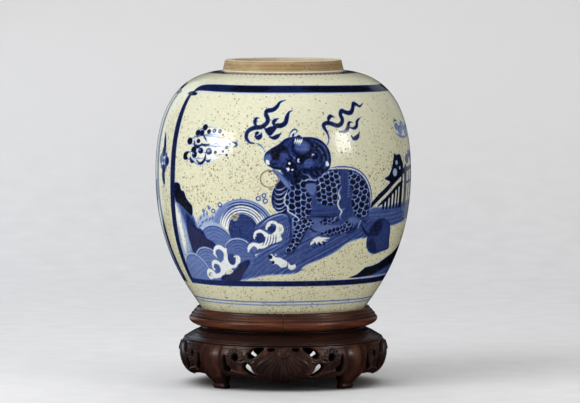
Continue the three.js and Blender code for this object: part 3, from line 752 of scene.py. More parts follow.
def paint_ground(c):
    """The washed bank the beast stands on, and the ground at the right."""
    c.fill([(-46, 97), (-40, 105), (-30, 114), (-22, 121), (-8, 127), (0, 130), (6, 136), (22, 143),
            (40, 141), (66, 140), (72, 147), (82, 156), (104, 156), (140, 158), (196, 160), (196, 148),
            (152, 144), (122, 141), (112, 140.5), (100, 141), (84, 132.5), (72, 131.6), (60, 128),
            (48, 120.6), (36, 115.4), (24, 111.4), (18.4, 108.4), (15, 104.6), (6, 102.6), (-20, 101.2),
            (-34, 98.4)], 0.46, to=0.62, streak=0.15, angle=28, soft=1.6, dry=1.0)
    c.fill([(80, 156), (104, 157.5), (140, 159.5), (196, 161), (196, 149), (150, 145), (122, 142),
            (100, 144), (84, 146)], 0.48, streak=0.1, angle=2, soft=2.0, dry=1.6)
    c.fill([(-36, 100), (-24, 112), (-14, 117), (-6, 108), (-16, 103)], 0.46, streak=0.06, angle=35, soft=4)
    c.fill([(82, 131), (83, 125), (88, 119.6), (97, 117), (108, 118.6), (120.5, 120.6), (117, 128),
            (113, 139.5), (107, 144.6), (99, 147.6), (90, 145), (84, 138.6)], 0.60, streak=0.08, angle=70,
           pool=0.2)
    c.fill([(84, 136), (88, 144), (96, 146.6), (100, 140), (94, 133)], NAVY, soft=3.5)
    c.fill([(84, 127), (90, 120.4), (98, 118.6), (96, 124), (90, 130)], 0.78, soft=3)
    c.stroke([(72, 144), (76, 139), (82, 134.6), (92, 133.4)], 2.2, NAVY)
    c.stroke([(70, 149), (76, 146), (80, 143)], 2.6, DEEP)
    c.fill([(72, 97.5), (82, 100), (90, 105.6), (100, 106.4), (110, 108.2), (122, 112.4), (134, 115.2),
            (150, 121), (196, 126), (196, 97.5), (120, 97.5), (96, 96.8)], BLACK, curved=False, soft=0.9)
    c.fill([(112, 97), (124, 102.6), (150, 106), (196, 108), (196, 97)], 0.5, soft=3.0, streak=0.05, angle=4)
    c.stroke([(78, 96.9), (110, 97.2), (150, 96.8), (194, 96.8)], 1.3, PALE)
    for s, z, radius in ((126, 224, 4.6), (133, 221, 6.0), (141, 224.6, 5.6), (149, 220, 6.2),
                         (157, 223, 4.4)):
        c.dot((s, z), radius, 0.26, tall=0.7)
        c.arc((s, z), radius * 0.7, radius * 0.5, -20, 250, 0.9, MIDDLE, taper=0.6)
    c.stroke([(120, 219), (132, 215.4), (146, 214.8), (160, 217)], 2.2, LIGHT)
    c.stroke([(120.4, 227.4), (126, 229.4), (132, 228)], 1.3, DEEP)


def paint_fence(c):
    """A garden fence with its rails rising to a pierced finial board."""
    c.stroke([(81.5, 159), (90, 165.6), (100, 171.6), (110, 177.6), (120, 182.2), (132, 186.4),
              (146, 188)], 4.4, BLACK, start=0.8, end=0.6)
    c.stroke([(90, 158.4), (100, 163.4), (110, 169.4), (120, 174.6), (128, 177)], 3.2, BLACK, start=0.4,
             end=0.9)
    for s, top in ((97.4, 161), (102.4, 164), (107.8, 167.4), (113.4, 170.4), (118.8, 173), (124.2, 176)):
        c.stroke([(s, 156.6), (s, (top + 156) / 2), (s, top)], 2.9, BLACK, start=1, end=1)
    c.stroke([(127, 157), (127, 172), (127.4, 184)], 3.2, BLACK, start=1, end=1)
    c.stroke([(136.4, 158), (136.4, 172), (136.2, 188)], 7.0, NAVY, start=1, end=1)
    c.fill([(97.6, 181.4), (104, 184), (108.4, 190), (111, 196), (113.6, 201.8), (117, 200.4),
            (124, 200.6), (127.4, 196), (130.4, 191), (128, 186), (120, 181.8), (110, 177), (104, 179)],
           BLACK)
    for place, radius in (((116.8, 194), 2.3), ((113.6, 185.8), 3.9), ((122.6, 189.2), 1.9)):
        c.dot(place, radius, PALE, tall=0.92)
    for s in (146, 155, 164, 173, 182, 191):
        c.stroke([(s, 159), (s, 172), (s, 184)], 3.0, NAVY, start=1, end=1)
    c.stroke([(140, 187), (160, 188.4), (194, 187)], 3.6, NAVY, start=0.8, end=1)
    c.stroke([(140, 176), (160, 177), (194, 176)], 2.4, NAVY, start=0.8, end=1)
    for s, z, r in ((142, 196, 6), (150, 200, 5), (160, 197, 6.5), (171, 201, 6), (183, 197, 6.5)):
        c.dot((s, z), r, MIDDLE, tall=0.7)
        c.dot((s - 1, z - 1), r * 0.5, DEEP, tall=0.7)


def paint_left_rock(c):
    """A cliff: black crest, pale fall of water down its left, dark foot."""
    c.fill([(-110, 163), (-100, 157), (-92, 152.5), (-88, 150), (-84.4, 145), (-80, 140), (-74, 136),
            (-66, 130), (-69, 122), (-90, 118.4), (-116, 108)], 0.34, to=0.60, angle=0, streak=0.08)
    c.fill([(-104, 161), (-96, 157), (-89, 152), (-86, 147), (-92, 144), (-101, 148), (-106, 156)], 0.50,
           soft=3.5, streak=0.08, angle=60)
    c.fill([(-114.5, 162), (-110, 162), (-104.5, 156), (-101, 146), (-98, 136), (-98, 121), (-105, 117),
            (-115, 108), (-118, 125)], 0.17, soft=4, streak=0.12, angle=82)
    c.stroke([(-110, 158), (-108, 145), (-107, 130), (-109, 118)], 6.0, WHITE, soft=2.5, opacity=0.8)
    c.fill([(-96.6, 150), (-90, 148), (-84, 140.6), (-78, 138.6), (-75, 133), (-69, 130), (-66, 126.6),
            (-69, 122.4), (-80, 123), (-92, 119.4), (-97, 122)], 0.72, soft=1.6, streak=0.09, angle=70)
    for place, radius in (((-88, 141), 2.0), ((-82, 135.6), 3.0), ((-73, 127), 2.4), ((-91, 131), 3.0)):
        c.dot(place, radius, NAVY)
    c.fill([(-110, 176), (-107, 177.6), (-102.6, 176.6), (-100.4, 171.6), (-96.6, 170.2), (-94, 165),
            (-90, 161), (-87.2, 158), (-87.6, 152.4), (-89.4, 150.6), (-93, 153), (-99, 157), (-104, 160),
            (-110, 163)], BLACK)
    c.scorch([(-96, 140), (-84, 138), (-76, 131), (-70, 129), (-68, 122.6), (-80, 122), (-92, 118),
              (-97, 124)], 0.16)


def wave_disc(c, centre, radius, start, end, tone):
    """A round wave: a washed disc with fine rings and a pale blue rim."""
    turn = np.linspace(0, TAU, 24, endpoint=False)
    c.fill(ellipse(centre, radius, radius, turn), tone, streak=0.05, pool=0.1)
    for share in (0.86, 0.7, 0.54, 0.38):
        c.arc(centre, radius * share, radius * share, start, end, 0.6, tone - 0.16, opacity=0.6)
        c.arc(centre, radius * share - 1.0, radius * share - 1.0, start, end, 0.6, tone + 0.2, opacity=0.6)
    c.arc(centre, radius - 1.1, radius - 1.1, start, end, 0.8, tone + 0.25, taper=0.5)
    c.arc(centre, radius, radius, start, end, 1.5, 0.13, taper=0.5)


def paint_waves(c):
    """Breaking waves at the left: an arched crest of many lines, round swells, white foam curls."""
    crest = (-36.5, 140)
    c.fill([(-84, 141), (-82, 149), (-76, 152.6), (-68, 152), (-63, 148), (-60, 142), (-70, 140)], 0.14,
           soft=3, dry=1.2, angle=80)
    for radius in np.arange(26.6, 13.2, -1.0):
        share = 1 - 0.07 * (radius > 22)
        c.arc(crest, radius, radius * share, 5, 176, 1.7, 0.12 if radius > 22.5 else WHITE, taper=0.6)
    for step, radius in enumerate(np.arange(25.6, 13.6, -2.2)):
        share = 1 - 0.07 * (radius > 22)
        c.arc(crest, radius, radius * share, 8 + 3 * (step % 3), 172 - 5 * (step % 2), 0.95,
              (NAVY, DEEP)[step % 2], taper=0.5)
    c.arc(crest, 27.6, 25.8, 8, 168, 1.1, 0.42, taper=0.2)
    c.fill([(-65, 145), (-63, 152), (-57, 159), (-50, 162.6), (-50, 158), (-56, 151), (-59, 144)], 0.30,
           soft=2.4, streak=0.1, angle=50, dry=0.8)
    for radius, start in ((21, 96), (23.4, 100), (25.4, 110)):
        c.arc(crest, radius, radius * 0.95, start, 166, 1.2, 0.36, opacity=0.7)
    wave_disc(c, crest, 12.8, 0, 358, 0.60)
    c.arc(crest, 13, 13, 0, 358, 1.2, NAVY, taper=0.9)
    wave_disc(c, (-65.4, 124.4), 19.2, 34, 150, 0.38)
    c.arc((-67, 124), 21, 21.4, 45, 128, 1.5, 0.16, taper=0.3)
    c.fill([(-97, 139), (-84, 139.4), (-77.6, 137.6), (-75, 132), (-69.6, 129.6), (-66, 126.4), (-68, 121),
            (-92, 118)], 0.74, soft=1.4, streak=0.08, angle=70)
    wave_disc(c, (-42.6, 117), 15.6, 8, 150, 0.42)
    wave_disc(c, (-79, 105.6), 18, 30, 172, 0.36)
    wave_disc(c, (-99.6, 98), 19.4, 4, 172, 0.33)
    c.fill([(-117, 96), (-113, 109), (-101, 115.4), (-90, 112), (-84, 105), (-82, 95.5)], 0.34, soft=2.4,
           streak=0.06, angle=20)
    for radius in (14.6, 11, 7.6):
        c.arc((-99.6, 98), radius, radius, 10, 168, 0.5, 0.24, opacity=0.6)
    c.fill([(-26, 142), (-18, 149.6), (-8, 153.4), (1, 153), (6, 146), (7, 136), (4, 129), (-8, 127.5),
            (-22, 121), (-30, 120), (-34, 128), (-24, 133)], 0.50, streak=0.1, angle=20)
    c.stroke([(-21, 143.4), (-14, 149.4), (-6, 152.9), (2, 153.8)], 1.1, PALE)
    c.stroke([(-21, 145.6), (-13, 151.4), (-4, 154.6), (4, 154.6)], 1.0, NAVY)
    for step in range(8):
        c.arc((-7, 141), 8.0 + 0.95 * step, 8.0 + 0.95 * step, -56, 56, 0.55, (0.26, 0.7)[step % 2],
              opacity=0.8)
    paint_foam(c)
    for s, z, angle in ((-82, 141, 30), (-78.6, 144, 35), (-74, 146, 40), (-69.6, 146.4, 55),
                        (-66, 147.4, 70), (-79.6, 147, 60), (-74.8, 150, 75), (-71, 151, 85)):
        a = math.radians(angle)
        c.stroke([(s, z), (s + 2.4 * math.cos(a), z + 2.4 * math.sin(a)),
                  (s + 5.0 * math.cos(a), z + 4.6 * math.sin(a))], 1.7, 0.42)
    for s, z, radius in ((-57, 161, 1.7), (-64, 155.4, 1.6), (-74.4, 155.4, 1.0), (-22, 167, 1.7),
                         (-17, 169.6, 1.6), (-16, 165, 1.8), (-68, 158, 1.0)):
        c.arc((s, z), radius, radius, 0, 350, 0.75, NAVY, taper=0.9)


def paint_foam(c):
    """White curls of foam, with the blue showing through their middles."""
    c.fill([(-78, 97), (-66, 99), (-60, 104), (-52, 107), (-46, 110), (-42.5, 113), (-43, 117), (-46, 117),
            (-48, 112), (-51.5, 109.4), (-55, 112), (-55.4, 118), (-55, 124), (-58, 122), (-60, 114),
            (-65, 110), (-66.5, 104), (-72, 101), (-80, 101), (-86, 98), (-84, 96)], WHITE)
    c.spiral((-63.4, 118.6), 7.0, -20, 235, 3.0, WHITE, shrink=0.35)
    c.dot((-63.4, 118.4), 4.6, 0.42)
    c.stroke([(-69, 121), (-69.4, 118.4), (-67, 117.2)], 1.9, WHITE)
    c.spiral((-70.6, 106.4), 6.2, -30, 235, 2.7, WHITE, shrink=0.35)
    c.dot((-70.4, 106), 4.0, 0.46)
    c.stroke([(-75.6, 108), (-75, 105.4), (-72.4, 105)], 1.7, WHITE)
    c.spiral((-50.6, 113.6), 5.4, -175, 170, 2.2, WHITE, shrink=0.1)
    c.dot((-51.2, 114.4), 4.2, 0.58, tall=1.2)
    c.stroke([(-48.6, 116.6), (-45.4, 117.4), (-43, 115), (-43.6, 111.4)], 2.4, WHITE)
    c.spiral((-80.6, 98), 5.8, 0, 180, 2.4, WHITE, shrink=0.1)
    c.stroke([(-86.4, 97.4), (-83, 99.4), (-79.4, 98), (-78.6, 96.4)], 0.8, DEEP)
    c.fill([(-69, 96), (-67, 99.4), (-62, 100.8), (-56, 101.4), (-51, 104.6), (-47, 107), (-44, 110.6),
            (-40, 112.4), (-34.6, 114.6), (-32.6, 112.4), (-36, 107.6), (-40, 103.6), (-43.6, 99.4),
            (-47, 96), (-58, 95)], 0.72, soft=0.9, streak=0.08, angle=30)
    c.scorch([(-66, 97), (-56, 101), (-47, 106), (-38, 111), (-38, 106), (-45, 98), (-58, 96)], 0.2)
    c.fill([(-22, 141), (-17, 139), (-12, 136.4), (-8.6, 139), (-6.6, 143.4), (-8.4, 147), (-5, 146),
            (-1.6, 144.4), (-0.4, 140), (-2.8, 136), (-2, 132), (-8, 129.6), (-13, 128), (-18, 125),
            (-24, 124.6), (-27.6, 126.6), (-31, 124), (-33.6, 121), (-32.6, 126), (-28.4, 129.4),
            (-22, 128.6), (-17.4, 131), (-17.6, 136)], WHITE)
    c.arc((-10.2, 142.2), 5.2, 5.0, -30, 190, 2.3, WHITE, taper=0.6)
    c.stroke([(-15.2, 143.4), (-13.4, 143.6), (-11.6, 145.4)], 2.0, WHITE)
    c.dot((-10.8, 141.2), 3.6, 0.7, tall=0.8)
    c.arc((-21.8, 134.4), 5.0, 5.0, 10, 195, 2.2, WHITE, taper=0.6)
    c.dot((-21.4, 133.6), 4.0, 0.66)
    c.stroke([(-26.2, 137), (-25, 134.4)], 1.6, WHITE)
    c.arc((-28.6, 123.4), 4.6, 4.6, 10, 195, 1.9, WHITE, taper=0.6)
    c.dot((-27.6, 123.4), 2.3, 0.4)
    for step in range(5):
        c.stroke([(-16.5 + 2.4 * step, 134.6 + 0.5 * step), (-17.5 + 2.5 * step, 131),
                  (-19.5 + 2.7 * step, 127 + 0.4 * step)], 0.85, NAVY, start=0.7, end=0.7)
    for step in range(6):
        c.stroke([(-6.4 + 0.5 * step, 142.6 - 1.6 * step), (-4.0 + 0.3 * step, 142.8 - 1.7 * step),
                  (-1.6, 142 - 1.8 * step)], 0.7, 0.5)


def paint_body(c):
    """The beast's body: washed flank, scaled chest, shoulder, haunch and legs."""
    c.fill([(-2, 187), (10, 189), (24, 187), (38, 190.6), (48, 191.4), (59, 190.4), (67, 187.4),
            (73.6, 181.6), (78, 174), (80.4, 165.6), (80.4, 156), (78.4, 150), (71, 147.4), (68, 140.4),
            (62, 136.4), (52, 137), (44, 134.6), (38, 136), (40, 144), (30, 147.6), (21.6, 143.6),
            (17.4, 138.6), (14, 130), (10.6, 124), (6, 119.4), (0.6, 121), (4, 129), (5, 139), (3, 152),
            (-5, 155.6), (-9.4, 161), (-10.2, 168), (-8.6, 175), (-4.4, 181)], 0.56, streak=0.11, angle=70,
           pool=0.25)
    c.fill([(22, 140), (24, 150), (34, 150), (40, 144), (36, 138), (26, 134)], 0.44, soft=2.4, streak=0.08,
           angle=20)
    c.fill([(49, 190), (58, 189), (60, 178), (61.5, 166), (62, 154), (57, 147.5), (50, 149), (48, 160),
            (47.4, 172)], 0.60, streak=0.05, angle=85, soft=2)
    c.fill([(23, 160), (34, 157), (47, 158), (49, 150), (38, 151), (24, 151)], 0.58, soft=2.4, streak=0.1,
           angle=0)
    c.stroke([(23, 152), (32, 151.6), (42, 151.4), (49, 152.6)], 1.4, NAVY)
    c.stroke([(20, 148), (22.6, 142), (27, 139), (32, 138.4)], 1.2, NAVY)
    c.stroke([(30, 136), (42, 139.6), (55, 137.6), (66, 141), (70, 147)], 1.2, NAVY)
    c.stroke([(10.6, 124), (15, 131), (18, 137.6), (22, 142)], 1.0, NAVY)
    c.fill([(30, 143), (42, 144.6), (52, 144), (60, 150), (67, 149), (70, 146), (58, 141.4), (44, 139.6),
            (30, 139)], 0.40, soft=3)
    c.scales([(1.5, 172), (6, 184), (14, 186.6), (20, 182), (21, 175), (23.4, 166), (23, 157), (20, 150),
              (14, 149), (9, 154), (3, 157), (0.8, 164)], 5.8, angle=-125)
    c.scales([(29, 163.6), (27.6, 172), (27.4, 180), (31, 186.6), (38, 190.4), (47, 189), (49, 180),
              (46.4, 172), (47.6, 163.6), (40, 161)], 5.8, angle=-115)
    c.scales([(58, 189.6), (65, 187), (71.4, 182), (76.6, 174), (79.2, 165.6), (79, 156), (76, 150.4),
              (68, 150), (62.6, 155), (60, 164), (61, 172), (57, 180)], 6.2, angle=-70)
    c.scales([(7, 152), (14, 150), (24, 148.6), (25.4, 145), (20, 141), (17, 137.6), (13.6, 130),
              (9.6, 124.6), (2.4, 121.4), (1.4, 124), (6, 130), (8.4, 138), (7.4, 146)], 4.9, angle=-75,
             gap=0.7)
    c.scales([(33, 137.6), (42, 141), (50, 142.6), (56, 146.6), (62, 145.6), (62.6, 141), (56, 137.4),
              (46, 136.2), (36, 135.6)], 4.4, angle=-20, line=0.15, gap=0.6)
    c.scales([(31, 145.4), (31.6, 149), (38, 150), (44, 150.6), (49, 149), (44, 146), (37, 144.6)], 4.6,
             angle=-60, line=0.25)


def paint_belly(c):
    """Belly plates, and the wavy white borders between the parts of the body."""
    c.fill([(-4.6, 181), (-9.2, 174), (-10.6, 167), (-9.4, 160.4), (-4.6, 155), (1.6, 155), (3, 159),
            (0.2, 164), (1.0, 171), (3.2, 177), (0, 181)], 0.88)
    for z, bow in ((176.4, 1.6), (172.8, 2.0), (169, 2.2), (165, 2.3), (161.2, 2.2), (157.8, 1.6)):
        c.stroke([(-9.6 + abs(z - 166) * 0.18, z + 1.0), (-6.6, z - bow), (-2.4, z - bow), (1.4, z + 0.8)],
                 1.15, 0.04, start=0.4, end=0.6)
    c.stroke([(3.8, 176.6), (2.0, 172), (0.2, 167), (0.6, 162.6), (3.0, 160), (3.2, 156.6), (6.4, 154.4),
              (9.6, 152.4), (12.4, 150), (12.6, 146.4), (14.6, 143)], 1.3, 0.02, start=0.4)
    c.stroke([(6.6, 153.4), (7.4, 148), (7.6, 142), (7.0, 136)], 0.9, PALE)
    c.stroke([(49.6, 176), (47.2, 171.4), (48.6, 167), (46.8, 163), (48.2, 158.6), (50.8, 155.6),
              (49.4, 151.4), (51.6, 148)], 1.5, 0.0, start=0.4)
    c.stroke([(51, 156.8), (54, 157.6)], 1.0, PALE)
    c.stroke([(38, 191.2), (48, 192), (59, 191), (67, 188), (73.6, 182.4), (78.2, 175), (80.8, 166),
              (80.8, 156), (78.8, 151)], 1.2, 0.0)
    c.stroke([(37, 192), (48, 193.2), (59.4, 192.2), (67.8, 189), (74.4, 183.4), (79, 176), (81.8, 166),
              (81.8, 157)], 0.8, NAVY)
    for step in range(9):
        z = 187 - 2.4 * step
        c.stroke([(55.6, z), (58.4, z + 0.8)], 1.1, 0.34)
    c.stroke([(47, 151.4), (44.4, 149.6), (43.2, 147)], 1.2, PALE)
    c.stroke([(62, 144), (58, 142), (54.6, 143.6), (52.6, 141)], 0.9, PALE)


def paint_paws(c):
    """White paws with dark claws."""
    c.fill([(-13.6, 117.4), (-12, 120), (-10, 118.6), (-7.6, 117), (-4, 116.6), (0, 114.6), (2.8, 113),
            (2.6, 109.6), (-0.6, 108.2), (-3.8, 108.6), (-5.4, 110.4), (-8.6, 111.6), (-10.6, 110.4),
            (-9.4, 113), (-13.6, 114.6), (-12.4, 116)], WHITE)
    c.dot((-12.6, 117.2), 1.7, BLACK)
    c.dot((-10.2, 112.6), 1.2, BLACK)
    c.stroke([(-8.4, 119.8), (-7.0, 118.4)], 1.0, WHITE)
    c.fill([(3.6, 112.6), (6.4, 110), (10.4, 110.8), (11.2, 108), (8, 106.2), (4.4, 107.4)], WHITE)
    c.stroke([(3.2, 113), (3.4, 109.4), (2.4, 108)], 0.8, DEEP)
    c.stroke([(7.4, 111.2), (9.4, 110.6)], 0.9, NAVY)
    c.fill([(24, 127.4), (24.8, 131), (30, 134.4), (34, 133.8), (41.4, 133), (36, 131.6), (39.6, 130.4),
            (33.4, 130.4), (36, 128), (30.6, 129.6), (29, 126.8), (27.4, 129.2)], WHITE)
    for s in (27.4, 31.4, 35.4):
        c.stroke([(s, 130.6), (s + 1.4, 127.4), (s + 2.6, 126.4)], 1.3, BLACK)
    c.stroke([(24.6, 126.4), (26.4, 125.6), (30, 126)], 0.9, NAVY)


def paint_head(c):
    """A head of its own: round skull, blunt muzzle, curled brow, short horn, swept mane, beard."""
    c.fill([(-17, 200.6), (-15.4, 205.6), (-9.6, 209.4), (-4.6, 212.6), (0.6, 216.8), (7, 218.6),
            (15, 218.4), (24, 218), (31, 214.6), (36.6, 208.4), (40, 201), (39.6, 194.4), (37, 190.4),
            (30, 186.6), (20, 185.4), (10, 185), (4, 187), (-2, 190.6), (-9.6, 193), (-15.6, 196.6)], 0.66,
           streak=0.13, angle=60, pool=0.3)
    for step, radius in enumerate((19.2, 17.2, 15.2, 13.2, 11.4)):
        c.arc((20.4, 200.6), radius, radius * 0.92, -34 + 3 * step, 84 - 5 * step, 1.3,
              (BLACK, 0.5)[step % 2], taper=0.3)
    c.stroke([(-14.6, 205.4), (-8, 209.4), (-2, 212.8), (3, 216.4)], 2.0, NAVY, start=0.4, end=0.4)
    c.fill([(-12, 208), (-5, 211), (1, 210.6), (4, 206.6), (1, 204.6), (-3, 204), (-4.8, 199.8),
            (-9.6, 200.2), (-11.6, 204)], 0.9, soft=1.4)
    c.fill([(-9.6, 203), (-7.4, 207.6), (-3.4, 206), (-5, 200.4), (-8.6, 199.8)], BLACK, soft=0.9)
    c.fill([(-17, 201), (-14.6, 204.2), (-11, 203.4), (-11.4, 199.2), (-16, 199.4)], 0.44, soft=1.8)
    c.fill([(-15.6, 199.4), (-12.6, 198.6), (-12.4, 195.4), (-15, 196.4)], WHITE)
    c.stroke([(-13, 197.6), (-9, 196.2), (-5, 196.6)], 1.4, BLACK)
    c.fill([(-3.4, 205), (1, 206), (3.6, 202.6), (1.4, 198.8), (-3, 199.4)], 0.54, soft=2.2, streak=0.1)
    c.arc((-0.6, 202.4), 5.4, 4.6, -60, 100, 1.1, NAVY)
    c.fill([(6.4, 212), (10, 217), (18, 217.6), (24.6, 213), (24.6, 206), (18, 201.6), (11, 202.8),
            (6.6, 207)], 0.88, soft=0.9)
    c.fill([(8.6, 211.6), (12, 216), (18, 216), (22.4, 212), (22, 207.4), (17, 205), (11.4, 206),
            (8.4, 208.6)], 0.46, soft=1.6, streak=0.08, pool=0.25)
    for lean in range(4):
        c.stroke([(8.4 + 1.6 * lean, 213 - 0.2 * lean), (9.8 + 1.8 * lean, 216), (9 + 2.4 * lean, 218)],
                 1.3, WHITE)
    c.arc((15.4, 208.6), 5.6, 3.8, 190, 350, 0.8, 0.56)
    c.arc((15.6, 208), 11.4, 8.6, 196, 320, 1.1, 0.3, taper=0.3)
    c.fill([(9.6, 199.6), (11, 203), (15, 203.6), (18.4, 201), (16.4, 197), (12, 195.8)], BLACK, soft=0.8)
    c.fill([(11.2, 197.8), (11.4, 200.6), (13.2, 200), (13.2, 197.2)], WHITE, soft=1.0)
    c.dot((13.2, 198.8), 1.0, BLACK)
    c.fill([(22.6, 201.4), (24, 205), (27.6, 204.6), (28.6, 201.4), (26, 200)], BLACK, soft=0.8)
    c.stroke([(23.4, 201.6), (24.4, 204.2), (26.6, 202.4)], 1.1, WHITE)
    c.fill([(18, 201), (22.6, 200.4), (25, 197), (22.6, 192), (17, 192.6), (15.8, 197)], 0.50, soft=2.4,
           streak=0.1)
    c.arc((21.2, 196.4), 5.0, 5.0, 195, 30, 1.6, BLACK)
    c.arc((27, 197), 5.4, 6.4, -70, 70, 1.2, NAVY)
    c.arc((31, 197), 4.4, 7.4, -70, 60, 1.0, 0.44)
    c.fill([(1.6, 196.6), (5.4, 198.4), (10, 195.8), (10.8, 191.2), (7, 189.4), (2.6, 190.6)], BLACK,
           soft=0.8)
    c.dot((4.4, 196.6), 1.1, WHITE)
    c.fill([(1.4, 192.8), (3.2, 189.8), (4.8, 191.4), (4.0, 193.4)], WHITE, curved=False)
    c.fill([(5.4, 191), (7.4, 190), (8.9, 192.9), (6.6, 192.2)], WHITE, curved=False)
    c.stroke([(-14, 195), (-8, 192.8), (-2, 192.2), (2.4, 190.4)], 1.8, BLACK)
    for place, radius, start in (((-2, 208), 3.4, 40), ((4.6, 201.4), 3.0, 200), ((29.6, 208), 3.6, 10),
                                 ((33.4, 201.4), 3.0, -40), ((25.6, 192.6), 2.8, 160), ((9, 193.6), 2.4, 90)):
        c.spiral(place, radius, start, 300, 1.2, BLACK)
    c.stroke([(-9, 191), (-4.4, 187), (0, 182.4), (3.4, 177.4), (6, 174)], 4.4, 0.36, start=0.5, end=0.3)
    c.stroke([(-6, 190.6), (-1, 186.4), (3, 181.6), (5.4, 176.6)], 1.2, 0.62)
    c.stroke([(-2, 190), (3, 186), (7.4, 181), (8.6, 176)], 3.8, NAVY, start=0.4)
    c.stroke([(8, 190), (10, 184), (9.6, 177)], 3.2, BLACK, start=0.6)
    c.fill([(11, 190), (16, 192.4), (24, 192), (31, 193), (34.6, 189.4), (28, 184.6), (20, 184),
            (12, 184)], 0.9, soft=1.4)
    for s in (14, 19, 24, 29):
        c.stroke([(s, 191), (s + 1.6, 188), (s + 4.6, 186.2)], 0.9, 0.42)
    c.stroke([(16, 187.6), (20, 186.6), (23, 183.6), (25, 181)], 1.2, PALE)
    c.stroke([(15.4, 181.6), (20, 183.2), (26, 182.2), (30, 184)], 1.4, PALE)
    c.stroke([(15, 179.6), (22, 181), (28.6, 179.8)], 2.4, BLACK)
    c.stroke([(30, 184), (34, 187.6), (39, 190.2)], 1.2, PALE)
    c.fill([(35.8, 197.4), (37.4, 197.8), (38.6, 194.6), (36.2, 194)], WHITE, soft=0.9)
    c.stroke([(4, 218.6), (5.4, 222), (8.6, 224.8), (11.2, 224), (10.4, 221.8), (8.2, 221)], 1.1, NAVY)
    c.stroke([(7.4, 218.6), (8.2, 221.6)], 1.6, BLACK)
    c.stroke([(10.2, 218.6), (12.6, 219.4), (15, 218.4)], 1.4, BLACK)
    c.fill([(17.4, 176.4), (20, 180), (26.4, 179), (26.6, 172.4), (22, 170)], 0.4, soft=1.6)


def paint_panel(c):
    """The whole framed scene, from what lies furthest back to the frame."""
    for paint in (paint_ground, paint_left_rock, paint_waves, paint_fence, paint_body, paint_belly,
                  paint_paws, paint_head, paint_flames, paint_cloud, paint_frame):
        paint(c)


def paint_borders(c):
    """Two fine lines right round, above the foot, drawn in halves."""
    half_turn = np.linspace(-2, AROUND / 2 + 2, 120)
    for turn in (half_turn, half_turn + AROUND / 2):
        for z, tone, width in ((77.4, MIDDLE, 0.9), (74.7, LIGHT, 1.0)):
            wave = 0.15 * np.sin(4 * turn / JAR_RADIUS)
            c.stroke(np.column_stack([turn, z + wave]), width, tone, start=1, end=1)


def paint_blemishes(c):
    """Brown marks burnt into the glaze: a thin ring and a patch. They go in the rust layer."""
    patch = [(-46.4, 150.6), (-45.6, 153.4), (-42.4, 152.6), (-40.4, 154.8), (-39.6, 151.6),
             (-41.6, 148.6), (-44, 147.6)]
    c.fill(patch, 0)
    cobalt, c.ink = c.ink, c.rust
    c.arc((-12.4, 183.6), 7.6, 7.0, -50, 300, 1.15, 1.0, taper=0.7)
    c.fill(patch, 0.6, soft=1.4)
    c.dot((-43.6, 151), 1.2, 1.0)
    c.dot((-41, 153.4), 0.9, 1.0)
    c.ink = cobalt


def sampled(layer, c, along, height):
    """A layer of the canvas at these places, smoothly between its cells."""
    column, row = (along - DRAWN_ASIDE) / c.STEP, (height + DRAWN_LOWER - c.LOW) / c.STEP
    i, j = np.floor(column).astype(int), np.floor(row).astype(int).clip(0, c.rows - 2)
    ti, tj = column - i, np.clip(row - j, 0, 1)
    left, right = i % c.columns, (i + 1) % c.columns
    low = layer[left, j] * (1 - ti) + layer[right, j] * ti
    high = layer[left, j + 1] * (1 - ti) + layer[right, j + 1] * ti
    return low * (1 - tj) + high * tj


def painting_at(along, height):
    """Amounts of cobalt and of rust at places round the body and heights, arrays in mm."""
    c = Canvas()
    for mirrored in (False, True):
        c.mirrored, c.shift = mirrored, BACK_SHIFT
        paint_panel(c)
    c.mirrored = False
    c.clear_below(LOWEST_PAINT)
    paint_borders(c)
    paint_blemishes(c)
    for place in SPRIGS_AT:
        paint_sprig(c, place)
    teeth = neck_teeth(along / JAR_RADIUS, height)
    cobalt = sampled(c.ink, c, along, height)
    rust = sampled(c.rust, c, along, height)
    return cobalt + (DEEP - cobalt) * 0.6 * teeth, rust + 0.85 * teeth


def neck_teeth(angle, height):
    """A row of small dark teeth that hang from a line just under the neck."""
    tooth = np.abs((angle / TAU * TEETH) % 1 - 0.5) * 2
    edge = 266.7 + 0.6 * tooth
    return ramp(height, edge - 0.06, edge + 0.06) * (1 - ramp(height, 268.3, 268.5))


# ------------------------------------------------------------------ the stand
# Outlines of turned pieces are lists of (radius, height).
SIDES = ["front", "right", "back", "left"]
CORNERS = ["front_right", "back_right", "back_left", "front_left"]
QUARTER = math.pi / 2
FACE_RADIUS = 89.0                  # carved face of an apron, on average
LEG_HALF_WIDTH = 12.1
CARVING_STEP = 0.45                 # mesh size of the carved pieces
TORUS_TOP, BEADS_FROM = 57.6, 59.0    # heights between which painted shade darkens the rim, at its beads


def rim_outline():
    torus = smooth([(70.2, RIM_BOTTOM), (73.6, 50.2), (76.8, 51.4), (79.4, 53.0), (80.8, 54.8), (81.0, 56.2),
                    (80.6, 57.4), (79.8, 58.0)], 0.4)
    beads = [(79.8, 58.0), (79.2, 57.8), (79.1, 58.6), (79.1, 59.6), (78.7, 60.4), (77.9, 60.7), (77.3, 60.3),
             (77.2, 61.1), (77.0, 62.2), (76.4, 62.9), (75.7, 62.9), (75.2, 62.5), (75.1, 63.4), (74.8, 64.6),
             (74.1, 65.5), (73.0, RIM_TOP)]
    grooves = smooth(beads, 0.3)
    inner = [(72.1, RIM_TOP), (71.5, RIM_TOP - 0.5), (71.4, 64.0), (71.4, 60.0), (61.0, 60.0),
             (61.0, 58.5), (64.5, 58.5), (64.5, 55.5), (61.0, 55.5), (61.0, RIM_BOTTOM)]
    return np.vstack([torus, grooves[1:], inner])


